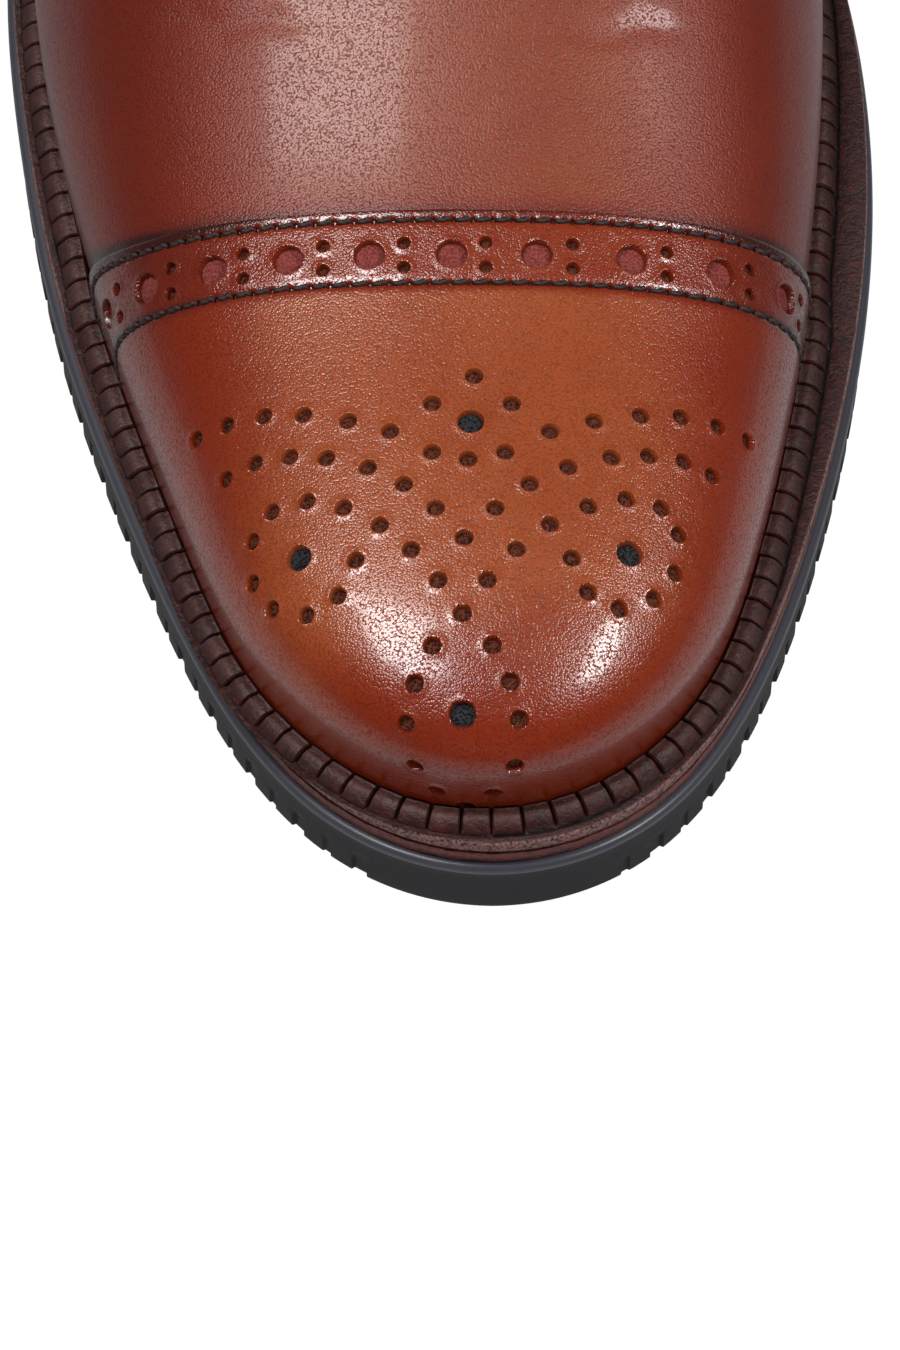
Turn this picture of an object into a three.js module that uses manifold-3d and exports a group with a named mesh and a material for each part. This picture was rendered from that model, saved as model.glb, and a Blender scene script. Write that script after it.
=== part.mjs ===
// A right-foot lace-up town shoe with a straight toe cap, on a thick lugged rubber sole.
// It stands on its sole: the toe points to -Y, the wearer's inner side is +X, up is +Z.
// The origin is on the floor below the middle of the sole. All sizes are in millimetres.
import * as THREE from "three";
import { mergeVertices } from "three/addons/utils/BufferGeometryUtils.js";
import Module from "manifold-3d";

const wasm = await Module();
wasm.setup();

// Driving sizes of the last and the upper
const SOLE_LENGTH = 304;
const SOLE_WIDTH = 109.2;
const UPPER_WIDTH = 100;
const INSTEP_HEIGHT = 73; // from the welt to the ridge of the instep
const COLLAR_HEIGHT = 62; // from the welt to the top of the back
const TOE_SETBACK = 4.8; // from the sole's tip to the upper's tip
const HEEL_SETBACK = 3;
const WALL = 2.8; // leather and lining together, at the vamp
const CAP_STEP = 0.9; // the vamp lies under the cap's edge
const QUARTER_STEP = 0.8; // the quarters lie under the vamp's edge
const CAP_LENGTH = 70; // along the middle, from the upper's tip to the seam
const CAP_SWEEP = 5; // how far the cap's ends lie behind its middle
const CAP_RUNOUT = 8; // over which the welt closes in behind the cap's ends
const BACK_STRIP_WIDTH = 17;
const UNDER_CURVE = 2.6; // exponent of the section under its widest level

// Driving sizes of the bottom
const TOE_SPRING = 11;
const HEEL_RISE = 19; // from the floor to the tread line above the heel
const RUBBER = 9.2; // whole rubber sole at the forepart
const LUG_DEPTH = 4;
const MIDSOLE = 1.8;
const WELT = 2.4;
const WELT_BEAD = 1.5; // the ridge of the storm welt above its flat rim
const WELT_BEAD_WIDTH = 3;
const WELT_INSET = 0.7; // the rubber stands out beyond the welt
const RUBBER_BEVEL = 0.8;
const INSOLE = 3.2;
const HEEL_TOP_PIECE = 9;
const HEEL_LIFTS = 3;
const HEEL_TAPER = 1.2;
const GAP = 0.3; // clearance where two pieces meet

// Driving sizes of the tread
const SIDE_NOTCH_PITCH = 4.8;
const HEEL_NOTCH_PITCH = 12;
const SIDE_NOTCH_WIDTH = 1.1;
const SIDE_NOTCH_DEPTH = 1.1;
const OPEN_NOTCH_WIDTH = 2;
const RIM_LUG_LENGTH = 12;
const GROOVE_WIDTH = 3;
const CENTRE_LUG_PITCH = 30;

// Driving sizes of the lacing
const EYELET_PAIRS = 5;
const EYELET_RADIUS = 1.6;
const EYELET_INSET = 9; // from the facing's edge to the eyelet's centre
const THROAT_NARROW = 2.6;
const THROAT_WIDE = 8;
const LACE_RADIUS = 1.15;
const TONGUE = 1.8;
const TONGUE_WIDTH = 46;
const TONGUE_REACH = 9; // beyond the top of the facings

// Places along the sole, as shares of its length from the toe
const SPRING_END = 0.29;
const SPRING_POWER = 1.8;
const ARCH_START = 0.43;
const ARCH_END = 0.73;
const HEEL_BREAST = 0.745;
const LUGS_START = 0.012;
const LUGS_END = 0.53;
const THROAT_FOOT = 0.37;
const FACING_TOP = 0.605;

// The sole's plan: how far each side reaches, as shares of half the sole's width.
const SOLE_PLAN = [
  { at: 0, lateral: -0.125, medial: 0.125 },
  { at: 0.03, lateral: 0.253, medial: 0.497 },
  { at: 0.09, lateral: 0.48, medial: 0.703 },
  { at: 0.18, lateral: 0.687, medial: 0.868 },
  { at: 0.27, lateral: 0.852, medial: 0.97 },
  { at: 0.36, lateral: 0.953, medial: 1 },
  { at: 0.45, lateral: 1, medial: 0.945 },
  { at: 0.54, lateral: 0.96, medial: 0.81 },
  { at: 0.63, lateral: 0.86, medial: 0.69 },
  { at: 0.72, lateral: 0.76, medial: 0.62 },
  { at: 0.81, lateral: 0.71, medial: 0.63 },
  { at: 0.9, lateral: 0.665, medial: 0.62 },
  { at: 0.97, lateral: 0.45, medial: 0.41 },
  { at: 1, lateral: 0.02, medial: -0.02 },
];

// The upper's sections from toe to heel. The two sides and the ridge's sideways place are shares
// of half the upper's width. The widest level, the top and the depths under the widest level on
// both sides are shares of the instep height, measured from the welt. The curves are the
// exponents of the section's shoulders.
const LAST = [
  { at: 0, lateral: -0.11, medial: 0.11, ridge: 0.11, mid: 0.123, top: 0.123, under: 0,
    arch: 0, lateralCurve: 2.1, medialCurve: 2.1 },
  { at: 0.03, lateral: 0.262, medial: 0.496, ridge: 0.1, mid: 0.118, top: 0.245, under: 0.37,
    arch: 0.37, lateralCurve: 2.15, medialCurve: 2.15 },
  { at: 0.07, lateral: 0.446, medial: 0.66, ridge: 0.088, mid: 0.112, top: 0.3, under: 0.38,
    arch: 0.38, lateralCurve: 2.2, medialCurve: 2.2 },
  { at: 0.13, lateral: 0.594, medial: 0.776, ridge: 0.076, mid: 0.108, top: 0.344, under: 0.37,
    arch: 0.37, lateralCurve: 2.25, medialCurve: 2.3 },
  { at: 0.2, lateral: 0.738, medial: 0.866, ridge: 0.076, mid: 0.105, top: 0.381, under: 0.37,
    arch: 0.37, lateralCurve: 2.2, medialCurve: 2.25 },
  { at: 0.28, lateral: 0.885, medial: 0.94, ridge: 0.084, mid: 0.112, top: 0.452, under: 0.38,
    arch: 0.37, lateralCurve: 2.1, medialCurve: 2.2 },
  { at: 0.36, lateral: 0.99, medial: 0.978, ridge: 0.1, mid: 0.129, top: 0.547, under: 0.4,
    arch: 0.38, lateralCurve: 1.95, medialCurve: 2.1 },
  { at: 0.44, lateral: 1.03, medial: 0.965, ridge: 0.13, mid: 0.155, top: 0.66, under: 0.45,
    arch: 0.4, lateralCurve: 1.85, medialCurve: 2 },
  { at: 0.53, lateral: 0.97, medial: 0.84, ridge: 0.15, mid: 0.201, top: 0.805, under: 0.52,
    arch: 0.42, lateralCurve: 1.8, medialCurve: 1.9 },
  { at: 0.62, lateral: 0.86, medial: 0.7, ridge: 0.14, mid: 0.252, top: 1, under: 0.59,
    arch: 0.47, lateralCurve: 1.8, medialCurve: 1.85 },
  { at: 0.71, lateral: 0.73, medial: 0.6, ridge: 0.085, mid: 0.274, top: 1.137, under: 0.62,
    arch: 0.52, lateralCurve: 1.8, medialCurve: 1.8 },
  { at: 0.8, lateral: 0.66, medial: 0.6, ridge: 0.02, mid: 0.274, top: 1.205, under: 0.62,
    arch: 0.59, lateralCurve: 1.8, medialCurve: 1.8 },
  { at: 0.88, lateral: 0.63, medial: 0.585, ridge: -0.02, mid: 0.274, top: 1.178, under: 0.62,
    arch: 0.62, lateralCurve: 1.85, medialCurve: 1.85 },
  { at: 0.95, lateral: 0.52, medial: 0.48, ridge: -0.022, mid: 0.274, top: 1.014, under: 0.58,
    arch: 0.58, lateralCurve: 1.95, medialCurve: 1.95 },
  { at: 1, lateral: 0.022, medial: -0.022, ridge: -0.022, mid: 0.274, top: 0.274, under: 0,
    arch: 0, lateralCurve: 2, medialCurve: 2 },
];

// The collar's line in side view, as shares of the collar height above the welt.
const COLLAR_LINE = [
  { at: 0.52, height: 1.85 },
  { at: 0.56, height: 1.52 },
  { at: 0.605, height: 1.24 },
  { at: 0.65, height: 1.06 },
  { at: 0.71, height: 0.91 },
  { at: 0.78, height: 0.82 },
  { at: 0.86, height: 0.82 },
  { at: 0.93, height: 0.92 },
  { at: 0.975, height: 1 },
  { at: 1, height: 1.03 },
];

// The vamp's rear edge in side view: height above the welt as shares of the instep height.
const VAMP_EDGE = [
  { at: 0.36, height: 1.2 },
  { at: 0.362, height: 0.9 },
  { at: 0.37, height: 0.66 },
  { at: 0.395, height: 0.48 },
  { at: 0.45, height: 0.34 },
  { at: 0.52, height: 0.18 },
  { at: 0.585, height: 0 },
  { at: 0.61, height: -0.12 },
];

const TOE_Y = -SOLE_LENGTH / 2;
const UPPER_TOE_Y = TOE_Y + TOE_SETBACK;
const UPPER_LENGTH = SOLE_LENGTH - TOE_SETBACK - HEEL_SETBACK;
const MIDSOLE_BASE = RUBBER + GAP;
const WELT_BASE = MIDSOLE_BASE + MIDSOLE + GAP;
const WELT_TOP = WELT_BASE + WELT;
const VAMP_FACE = -CAP_STEP; // offsets from the cap's face, which is the table's own surface
const QUARTER_FACE = VAMP_FACE - QUARTER_STEP;
const INSIDE_FACE = VAMP_FACE - WALL;
const FAR = SOLE_LENGTH; // further out than any part of the shoe
const EDGE_STEPS = 38; // stations along each side of the sole
const FOOT_STEPS = 28; // sections of the upper
const FOOT_FACETS = 12; // facets of a section above its widest level

const alongSole = (share) => TOE_Y + SOLE_LENGTH * share;
const shareOfSole = (y) => THREE.MathUtils.clamp((y - TOE_Y) / SOLE_LENGTH, 0, 1);

// A blunt end grows like a square root. Over this eased share it grows straight instead.
const eased = (share) => Math.acos(1 - 2 * THREE.MathUtils.clamp(share, 0, 1));
const uneased = (angle) => (1 - Math.cos(angle)) / 2;

// A natural cubic spline through one column of a table, read at any share of the length.
function curve(rows, column, ease = eased) {
  const x = rows.map((row) => ease(row.at));
  const y = rows.map((row) => row[column]);
  const bend = new Array(rows.length).fill(0);
  const carry = new Array(rows.length).fill(0);
  for (let i = 1; i < rows.length - 1; i++) {
    const left = x[i] - x[i - 1];
    const right = x[i + 1] - x[i];
    const pivot = 2 * (left + right) - left * carry[i - 1];
    carry[i] = right / pivot;
    const turn = (y[i + 1] - y[i]) / right - (y[i] - y[i - 1]) / left;
    bend[i] = (6 * turn - left * bend[i - 1]) / pivot;
  }
  for (let i = rows.length - 2; i > 0; i--) bend[i] -= carry[i] * bend[i + 1];
  return (share) => {
    const at = ease(share);
    let i = 1;
    while (i < rows.length - 1 && at > x[i]) i++;
    const width = x[i] - x[i - 1];
    const a = (x[i] - at) / width;
    const b = 1 - a;
    const sag = ((a ** 3 - a) * bend[i - 1] + (b ** 3 - b) * bend[i]) * (width ** 2 / 6);
    return a * y[i - 1] + b * y[i] + sag;
  };
}

// Height of the tread line above the floor: sprung at the toe, flat at the ball, up to the heel.
// It runs straight between the stations, so that every layer follows the same facets.
function treadHeight(y) {
  const station = (eased(shareOfSole(y)) * EDGE_STEPS) / Math.PI;
  const before = Math.min(EDGE_STEPS - 1, Math.floor(station));
  const [low, high] = [before, before + 1].map((i) => uneased((Math.PI * i) / EDGE_STEPS));
  const line = (share) =>
    TOE_SPRING * Math.max(0, 1 - share / SPRING_END) ** SPRING_POWER +
    HEEL_RISE * THREE.MathUtils.smoothstep(share, ARCH_START, ARCH_END);
  return THREE.MathUtils.mapLinear(shareOfSole(y), low, high, line(low), line(high));
}
const weltHeight = (y) => treadHeight(y) + WELT_TOP;

// A closed body from rings of equally many points. Rings may shrink to a line or a point.
// A looped body has its last ring joined to its first, and no ends.
function loft(rings, looped = false) {
  const count = rings[0].length;
  const corners = [];
  const at = (i, j) => rings[i][j % count];
  const add = (...points) => points.forEach((p) => corners.push(p.x, p.y, p.z));
  if (looped) rings = [...rings, rings[0]];
  for (let i = 0; i + 1 < rings.length; i++) {
    for (let j = 0; j < count; j++) {
      add(at(i, j), at(i + 1, j), at(i, j + 1));
      add(at(i, j + 1), at(i + 1, j), at(i + 1, j + 1));
    }
  }
  for (let j = 1; j + 1 < count && !looped; j++) {
    add(rings[0][0], rings[0][j], rings[0][j + 1]);
    add(rings.at(-1)[0], rings.at(-1)[j + 1], rings.at(-1)[j]);
  }
  const geometry = new THREE.BufferGeometry();
  geometry.setAttribute("position", new THREE.Float32BufferAttribute(corners, 3));
  return solid(geometry);
}

// A three.js geometry as a solid that can be joined and cut.
function solid(geometry) {
  const bare = geometry.clone();
  bare.deleteAttribute("normal");
  bare.deleteAttribute("uv");
  const merged = mergeVertices(bare, 1e-4);
  const index = merged.index.array;
  const kept = [];
  for (let i = 0; i < index.length; i += 3) {
    const [a, b, c] = index.slice(i, i + 3);
    if (a !== b && b !== c && c !== a) kept.push(a, b, c);
  }
  const made = new wasm.Manifold(
    new wasm.Mesh({
      numProp: 3,
      vertProperties: new Float32Array(merged.attributes.position.array),
      triVerts: new Uint32Array(kept),
    }),
  );
  return made;
}

// A flat outline in plan, extruded between two heights.
function planPrism(points, low, high) {
  const shape = new THREE.Shape(points.map((p) => new THREE.Vector2(p.x, p.y)));
  const geometry = new THREE.ExtrudeGeometry(shape, { depth: high - low, bevelEnabled: false });
  return solid(geometry.translate(0, 0, low));
}

// A flat outline in side view, points of y and z, extruded across the whole width.
function sidePrism(points) {
  const shape = new THREE.Shape(points.map((p) => new THREE.Vector2(p.y, p.z)));
  const geometry = new THREE.ExtrudeGeometry(shape, { depth: 2 * FAR, bevelEnabled: false });
  const turn = new THREE.Matrix4().makeBasis(
    new THREE.Vector3(0, 1, 0),
    new THREE.Vector3(0, 0, 1),
    new THREE.Vector3(1, 0, 0),
  );
  return solid(geometry.applyMatrix4(turn).translate(-FAR, 0, 0));
}

const joined = (solids) => solids.reduce((all, one) => all.add(one));

// The sole's edge
const soleReach = {
  lateral: curve(SOLE_PLAN, "lateral"),
  medial: curve(SOLE_PLAN, "medial"),
};

function soleEdgePoint(side, angle) {
  const share = uneased(angle);
  const reach = (SOLE_WIDTH / 2) * soleReach[side](share);
  return new THREE.Vector2(side === "medial" ? reach : -reach, alongSole(share));
}

// The sole's edge moved inwards, as a function that gives the point at each eased share.
function soleEdge(side, inset) {
  const inwards = side === "medial" ? -1 : 1;
  return (angle) => {
    const step = 1e-3;
    const before = soleEdgePoint(side, Math.max(0, angle - step));
    const after = soleEdgePoint(side, Math.min(Math.PI, angle + step));
    const along = after.sub(before).normalize();
    const blunt = Math.min(1, Math.sin(angle) / step);
    const inward = new THREE.Vector2(along.y * inwards, -along.x * inwards);
    if (blunt < 1) inward.set(0, angle < 1 ? 1 : -1);
    return soleEdgePoint(side, angle).addScaledVector(inward, inset);
  };
}

// A layer of the sole. Each level has an inset from the sole's edge and a height above the tread.
function soleLayer(levels, { from = 0, to = 1, steps = EDGE_STEPS, base = treadHeight } = {}) {
  const start = eased(from);
  const stop = eased(to);
  const rings = [];
  for (let i = 0; i <= steps; i++) {
    const angle = start + ((stop - start) * i) / steps;
    const side = (name, list) =>
      list.map(({ inset, height }) => {
        const p = soleEdge(name, inset)(angle);
        return new THREE.Vector3(p.x, p.y, base(p.y) + height);
      });
    rings.push([...side("medial", levels), ...side("lateral", levels.toReversed())]);
  }
  return loft(rings);
}

// The upper's outer surface: angle runs from toe to heel, turn goes round the section from the
// inner side over the ridge to the outer side and back underneath.
const last = Object.fromEntries(
  Object.keys(LAST[0])
    .filter((column) => column !== "at")
    .map((column) => [column, curve(LAST, column)]),
);

function upperPoint(angle, turn) {
  const share = uneased(angle);
  const half = UPPER_WIDTH / 2;
  const side = Math.cos(turn) >= 0 ? "medial" : "lateral";
  const reach = side === "medial" ? last.medial(share) : -last.lateral(share);
  const ridge = last.ridge(share);
  const mid = last.mid(share);
  const upwards = Math.sin(turn) >= 0;
  const power = 2 / (upwards ? last[side + "Curve"](share) : UNDER_CURVE);
  const across = Math.abs(Math.cos(turn)) ** power;
  const rise = Math.abs(Math.sin(turn)) ** power;
  const under = side === "medial" ? last.arch(share) : last.under(share);
  const height = upwards ? (last.top(share) - mid) * rise : -under * rise;
  const y = UPPER_TOE_Y + UPPER_LENGTH * share;
  return new THREE.Vector3(
    half * (ridge + (reach - ridge) * across),
    y,
    weltHeight(y) + INSTEP_HEIGHT * (mid + height),
  );
}

function upperNormal(angle, turn) {
  const step = 1e-3;
  const poles = Math.PI - 2 * step;
  if (angle < step) return new THREE.Vector3(0, -1, 0);
  if (angle > poles) return new THREE.Vector3(0, 1, 0);
  const along = upperPoint(angle + step, turn).sub(upperPoint(angle - step, turn));
  const round = upperPoint(angle, turn + step).sub(upperPoint(angle, turn - step));
  return along.cross(round).normalize();
}

const onUpper = (angle, turn, out) =>
  upperPoint(angle, turn).addScaledVector(upperNormal(angle, turn), out);

// The turn at which the surface passes above a sideways place, counted from the ridge.
function turnAt(angle, sideways) {
  const share = uneased(angle);
  const half = UPPER_WIDTH / 2;
  const side = sideways >= 0 ? "medial" : "lateral";
  const reach = Math.abs((side === "medial" ? 1 : -1) * last[side](share) - last.ridge(share));
  const across = Math.min(1, Math.abs(sideways) / (half * reach));
  const cos = across ** (last[side + "Curve"](share) / 2);
  return side === "medial" ? Math.acos(cos) : Math.PI - Math.acos(cos);
}
const upperAngle = (y) => eased((y - UPPER_TOE_Y) / UPPER_LENGTH);
const ridgeX = (y) => (UPPER_WIDTH / 2) * last.ridge((y - UPPER_TOE_Y) / UPPER_LENGTH);

// A closed body of the whole foot shape, grown or shrunk by an offset. Its sections have even
// steps over the ridge, and under the widest level most steps where the wall meets the welt.
function footBody(offset) {
  const turns = [];
  for (let j = 0; j < FOOT_FACETS; j++) turns.push((Math.PI * j) / FOOT_FACETS);
  const under = [0, 0.13, 0.27, 0.42, 0.6, 0.9, Math.PI / 2];
  turns.push(...under.map((turn) => Math.PI + turn));
  turns.push(...under.slice(1, -1).reverse().map((turn) => 2 * Math.PI - turn));
  const rings = [];
  for (let i = 0; i <= FOOT_STEPS; i++) {
    const angle = (Math.PI * i) / FOOT_STEPS;
    rings.push(turns.map((turn) => onUpper(angle, turn, offset)));
  }
  return loft(rings);
}

// Finds where a rising value passes zero between two arguments.
function solve(value, low, high) {
  for (let i = 0; i < 40; i++) {
    const middle = (low + high) / 2;
    if (value(middle) > 0) high = middle;
    else low = middle;
  }
  return (low + high) / 2;
}

// The foot shape's outline at one height above the tread line, as a loop from the toe along the
// inner side to the heel and back along the outer side.
function footOutline(height, offset, steps = EDGE_STEPS) {
  const point = (angle, turn) => onUpper(angle, turn, offset(upperPoint(angle, turn).y));
  const lift = (angle, turn) => {
    const p = point(angle, turn);
    return p.z - treadHeight(p.y) - height;
  };
  const bottom = (1.5 * Math.PI) % (2 * Math.PI);
  const start = solve((angle) => -lift(angle, bottom), 0, 1);
  const stop = solve((angle) => lift(angle, bottom), Math.PI - 1, Math.PI);
  const side = (turnFrom, turnTo) =>
    Array.from({ length: steps + 1 }, (_, i) => {
      const angle = start + ((stop - start) * (1 - Math.cos((Math.PI * i) / steps))) / 2;
      const turn = solve((t) => lift(angle, t), turnFrom, turnTo);
      return point(angle, turn);
    });
  const medial = side(-Math.PI / 2, 0);
  const lateral = side(1.5 * Math.PI, Math.PI);
  return [...medial, ...lateral.slice(1, -1).reverse()];
}

// Side view regions
const lineSteps = 24;
function sideLine(rows, height, from, to) {
  const line = curve(rows, "height", (share) => share);
  return Array.from({ length: lineSteps + 1 }, (_, i) => {
    const share = from + ((to - from) * i) / lineSteps;
    const y = alongSole(share);
    return { y, z: weltHeight(y) + height * line(share) };
  });
}

// Everything above a height over the tread line.
function above(height) {
  const points = [];
  for (let i = 0; i <= lineSteps * 2; i++) {
    const y = alongSole(i / (lineSteps * 2));
    points.push({ y, z: treadHeight(y) + height });
  }
  points.unshift({ y: -FAR, z: points[0].z });
  points.push({ y: FAR, z: points.at(-1).z }, { y: FAR, z: FAR }, { y: -FAR, z: FAR });
  return sidePrism(points);
}

// Everything under the collar's line.
function underCollar() {
  const line = sideLine(COLLAR_LINE, COLLAR_HEIGHT, COLLAR_LINE[0].at, 1);
  const end = line.at(-1);
  return sidePrism([
    { y: -FAR, z: -FAR },
    { y: FAR, z: -FAR },
    { y: FAR, z: end.z },
    ...line.reverse(),
    { y: line.at(-1).y, z: FAR },
    { y: -FAR, z: FAR },
  ]);
}

// Everything in front of the vamp's rear edge.
function vampRegion() {
  const byHeight = VAMP_EDGE.map((row) => ({ at: -row.height, along: row.at }));
  const line = curve(byHeight, "along", (share) => share);
  const [high, low] = [VAMP_EDGE[0].height, VAMP_EDGE.at(-1).height];
  const points = [{ y: -FAR, z: -FAR }];
  for (let i = 0; i <= lineSteps; i++) {
    const height = low + ((high - low) * i) / lineSteps;
    const y = alongSole(line(-height));
    points.push({ y, z: weltHeight(y) + INSTEP_HEIGHT * height });
  }
  points.splice(1, 0, { y: points[1].y, z: -FAR });
  points.push({ y: points.at(-1).y, z: FAR }, { y: -FAR, z: FAR });
  return sidePrism(points);
}

// Everything in front of the cap's seam, which sweeps back to the sides.
function capSeamY(x) {
  const middle = UPPER_TOE_Y + CAP_LENGTH;
  const off = (x - ridgeX(middle)) / (UPPER_WIDTH / 2);
  return middle + CAP_SWEEP * off * off;
}
function capRegion() {
  const points = [];
  for (let i = 0; i <= lineSteps; i++) {
    const x = UPPER_WIDTH * (i / lineSteps - 0.5) * 1.2;
    points.push({ x, y: capSeamY(x) });
  }
  points.reverse();
  points.push({ x: points.at(-1).x, y: -FAR }, { x: points[0].x, y: -FAR });
  return planPrism(points, -FAR, FAR);
}

function backStripRegion() {
  const middle = ridgeX(UPPER_TOE_Y + UPPER_LENGTH);
  const half = BACK_STRIP_WIDTH / 2;
  const front = UPPER_TOE_Y + UPPER_LENGTH * 0.85;
  return planPrism(
    [
      { x: middle - half, y: front },
      { x: middle + half, y: front },
      { x: middle + half, y: FAR },
      { x: middle - half, y: FAR },
    ],
    -FAR,
    FAR,
  );
}

// The gap between the facings
const THROAT_Y = alongSole(THROAT_FOOT);
const FACING_TOP_Y = alongSole(FACING_TOP);
const throatHalf = (y) =>
  THREE.MathUtils.mapLinear(y, THROAT_Y, FACING_TOP_Y, THROAT_NARROW, THROAT_WIDE) / 2;

// A strip along the ridge, with a half width that changes along it.
function ridgeStrip(from, to, half, low, steps = 12) {
  const edge = (sign) =>
    Array.from({ length: steps + 1 }, (_, i) => {
      const y = from + ((to - from) * i) / steps;
      return { x: ridgeX(y) + sign * half(y), y };
    });
  return planPrism([...edge(1), ...edge(-1).reverse()], low, FAR);
}

// Eyelets and laces
const eyeletY = (pair) =>
  THREE.MathUtils.mapLinear(pair, 0, EYELET_PAIRS - 1, THROAT_Y + 9, FACING_TOP_Y - 8);

function eyelet(pair, side) {
  const y = eyeletY(pair);
  const angle = upperAngle(y);
  const turn = turnAt(angle, side * (throatHalf(y) + EYELET_INSET));
  return { angle, turn };
}

function eyeletDrill(pair, side) {
  const { angle, turn } = eyelet(pair, side);
  const length = 4 * WALL;
  const geometry = new THREE.CylinderGeometry(EYELET_RADIUS, EYELET_RADIUS, length, 12);
  const up = new THREE.Vector3(0, 1, 0);
  geometry.applyQuaternion(
    new THREE.Quaternion().setFromUnitVectors(up, upperNormal(angle, turn)),
  );
  const centre = onUpper(angle, turn, (QUARTER_FACE + INSIDE_FACE) / 2);
  return solid(geometry.translate(...centre.toArray()));
}

// One straight bar of the lace, from inside one eyelet over the facings into the other.
function laceBar(pair) {
  const lift = QUARTER_FACE + GAP + LACE_RADIUS;
  const sunk = THREE.MathUtils.lerp(QUARTER_FACE, INSIDE_FACE, 0.7);
  const right = eyelet(pair, 1);
  const left = eyelet(pair, -1);
  const across = 8;
  const points = [onUpper(right.angle, right.turn, sunk)];
  for (let i = 0; i <= across; i++) {
    const turn = THREE.MathUtils.lerp(right.turn, left.turn, i / across);
    points.push(onUpper(right.angle, turn, lift + GAP));
  }
  points.push(onUpper(left.angle, left.turn, sunk));
  const path = new THREE.CatmullRomCurve3(points, false, "centripetal");
  const section = new THREE.Shape();
  section.absarc(0, 0, LACE_RADIUS, 0, 2 * Math.PI);
  return solid(
    new THREE.ExtrudeGeometry(section, { extrudePath: path, steps: 14, curveSegments: 2 }),
  );
}

function buildUpper() {
  const quarters = footBody(QUARTER_FACE);
  const vampForm = footBody(VAMP_FACE);
  const capForm = footBody(0);
  const outside = quarters
    .add(vampForm.intersect(vampRegion()))
    .add(vampForm.intersect(backStripRegion()))
    .add(capForm.intersect(capRegion()));
  const throat = ridgeStrip(THROAT_Y, FACING_TOP_Y + 20, throatHalf, weltHeight(THROAT_Y) + 25);
  const drills = [];
  for (let pair = 0; pair < EYELET_PAIRS; pair++) {
    drills.push(eyeletDrill(pair, 1), eyeletDrill(pair, -1));
  }
  return outside
    .subtract(footBody(INSIDE_FACE))
    .intersect(above(WELT_BASE))
    .intersect(underCollar())
    .subtract(throat)
    .subtract(joined(drills));
}

function buildTongue() {
  const top = INSIDE_FACE - GAP;
  const reach = FACING_TOP_Y + TONGUE_REACH;
  const half = (y) => {
    const share = THREE.MathUtils.clamp((y - THROAT_Y) / (reach - THROAT_Y), 0, 1);
    const end = Math.sqrt(Math.max(0, 1 - THREE.MathUtils.smoothstep(share, 0.88, 1) * 0.5));
    return (TONGUE_WIDTH / 2) * (0.72 + 0.28 * share) * end;
  };
  const strip = ridgeStrip(THROAT_Y - 6, reach, half, weltHeight(THROAT_Y) + 20, 16);
  const shell = footBody(top).subtract(footBody(top - TONGUE));
  return shell.intersect(strip);
}

// An upright body over a loop of the foot's outline, between two heights above the tread line.
function footPlate(outline, low, high) {
  const at = (p, height) => new THREE.Vector3(p.x, p.y, treadHeight(p.y) + height);
  const rings = [];
  for (let i = 0; i <= EDGE_STEPS; i++) {
    const medial = outline[i];
    const lateral = outline[(outline.length - i) % outline.length];
    rings.push([at(medial, low), at(medial, high), at(lateral, high), at(lateral, low)]);
  }
  return loft(rings);
}

function buildInsole() {
  const outline = footOutline(WELT_BASE, () => INSIDE_FACE - 2 * GAP);
  return footPlate(outline, WELT_BASE + GAP, WELT_BASE + INSOLE);
}

// The welt is a flat rim with a raised ridge against the upper.
function buildWelt() {
  const capEnd = UPPER_TOE_Y + CAP_LENGTH + CAP_SWEEP;
  const face = (y) => THREE.MathUtils.clamp((capEnd + CAP_RUNOUT - y) / CAP_RUNOUT, 0, 1);
  const outline = (height, out) =>
    footOutline(height, (y) => 2 * GAP + out + VAMP_FACE * (1 - face(y)));
  const at = (p, height) => new THREE.Vector3(p.x, p.y, treadHeight(p.y) + height);
  const low = WELT_BASE + WELT / 2;
  const high = WELT_TOP + WELT_BEAD;
  const inner = outline(WELT_TOP, 0);
  const lip = outline(high, 0);
  const crest = outline(high, 0.6 * WELT_BEAD_WIDTH);
  const foot = outline(WELT_TOP, WELT_BEAD_WIDTH);
  const ridge = foot.map((p, i) => [
    at(p, low),
    at(p, WELT_TOP),
    at(crest[i], high),
    at(lip[i], high),
    at(inner[i], low),
  ]);
  const rim = soleLayer([
    { inset: WELT_INSET, height: WELT_BASE },
    { inset: WELT_INSET, height: WELT_TOP },
  ]);
  return rim.subtract(footPlate(inner, WELT_BASE - 1, high + 1)).add(loft(ridge, true));
}

function buildMidsole() {
  return soleLayer([
    { inset: WELT_INSET, height: MIDSOLE_BASE },
    { inset: WELT_INSET, height: MIDSOLE_BASE + MIDSOLE },
  ]);
}

// Tread grooves, in plan
function bar(centre, direction, length, width) {
  const along = direction.clone().multiplyScalar(length / 2);
  const aside = new THREE.Vector2(-direction.y, direction.x).multiplyScalar(width / 2);
  const corner = (a, b) =>
    centre.clone().addScaledVector(along, a).addScaledVector(aside, b);
  return [corner(-1, -1), corner(1, -1), corner(1, 1), corner(-1, 1)];
}

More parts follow.
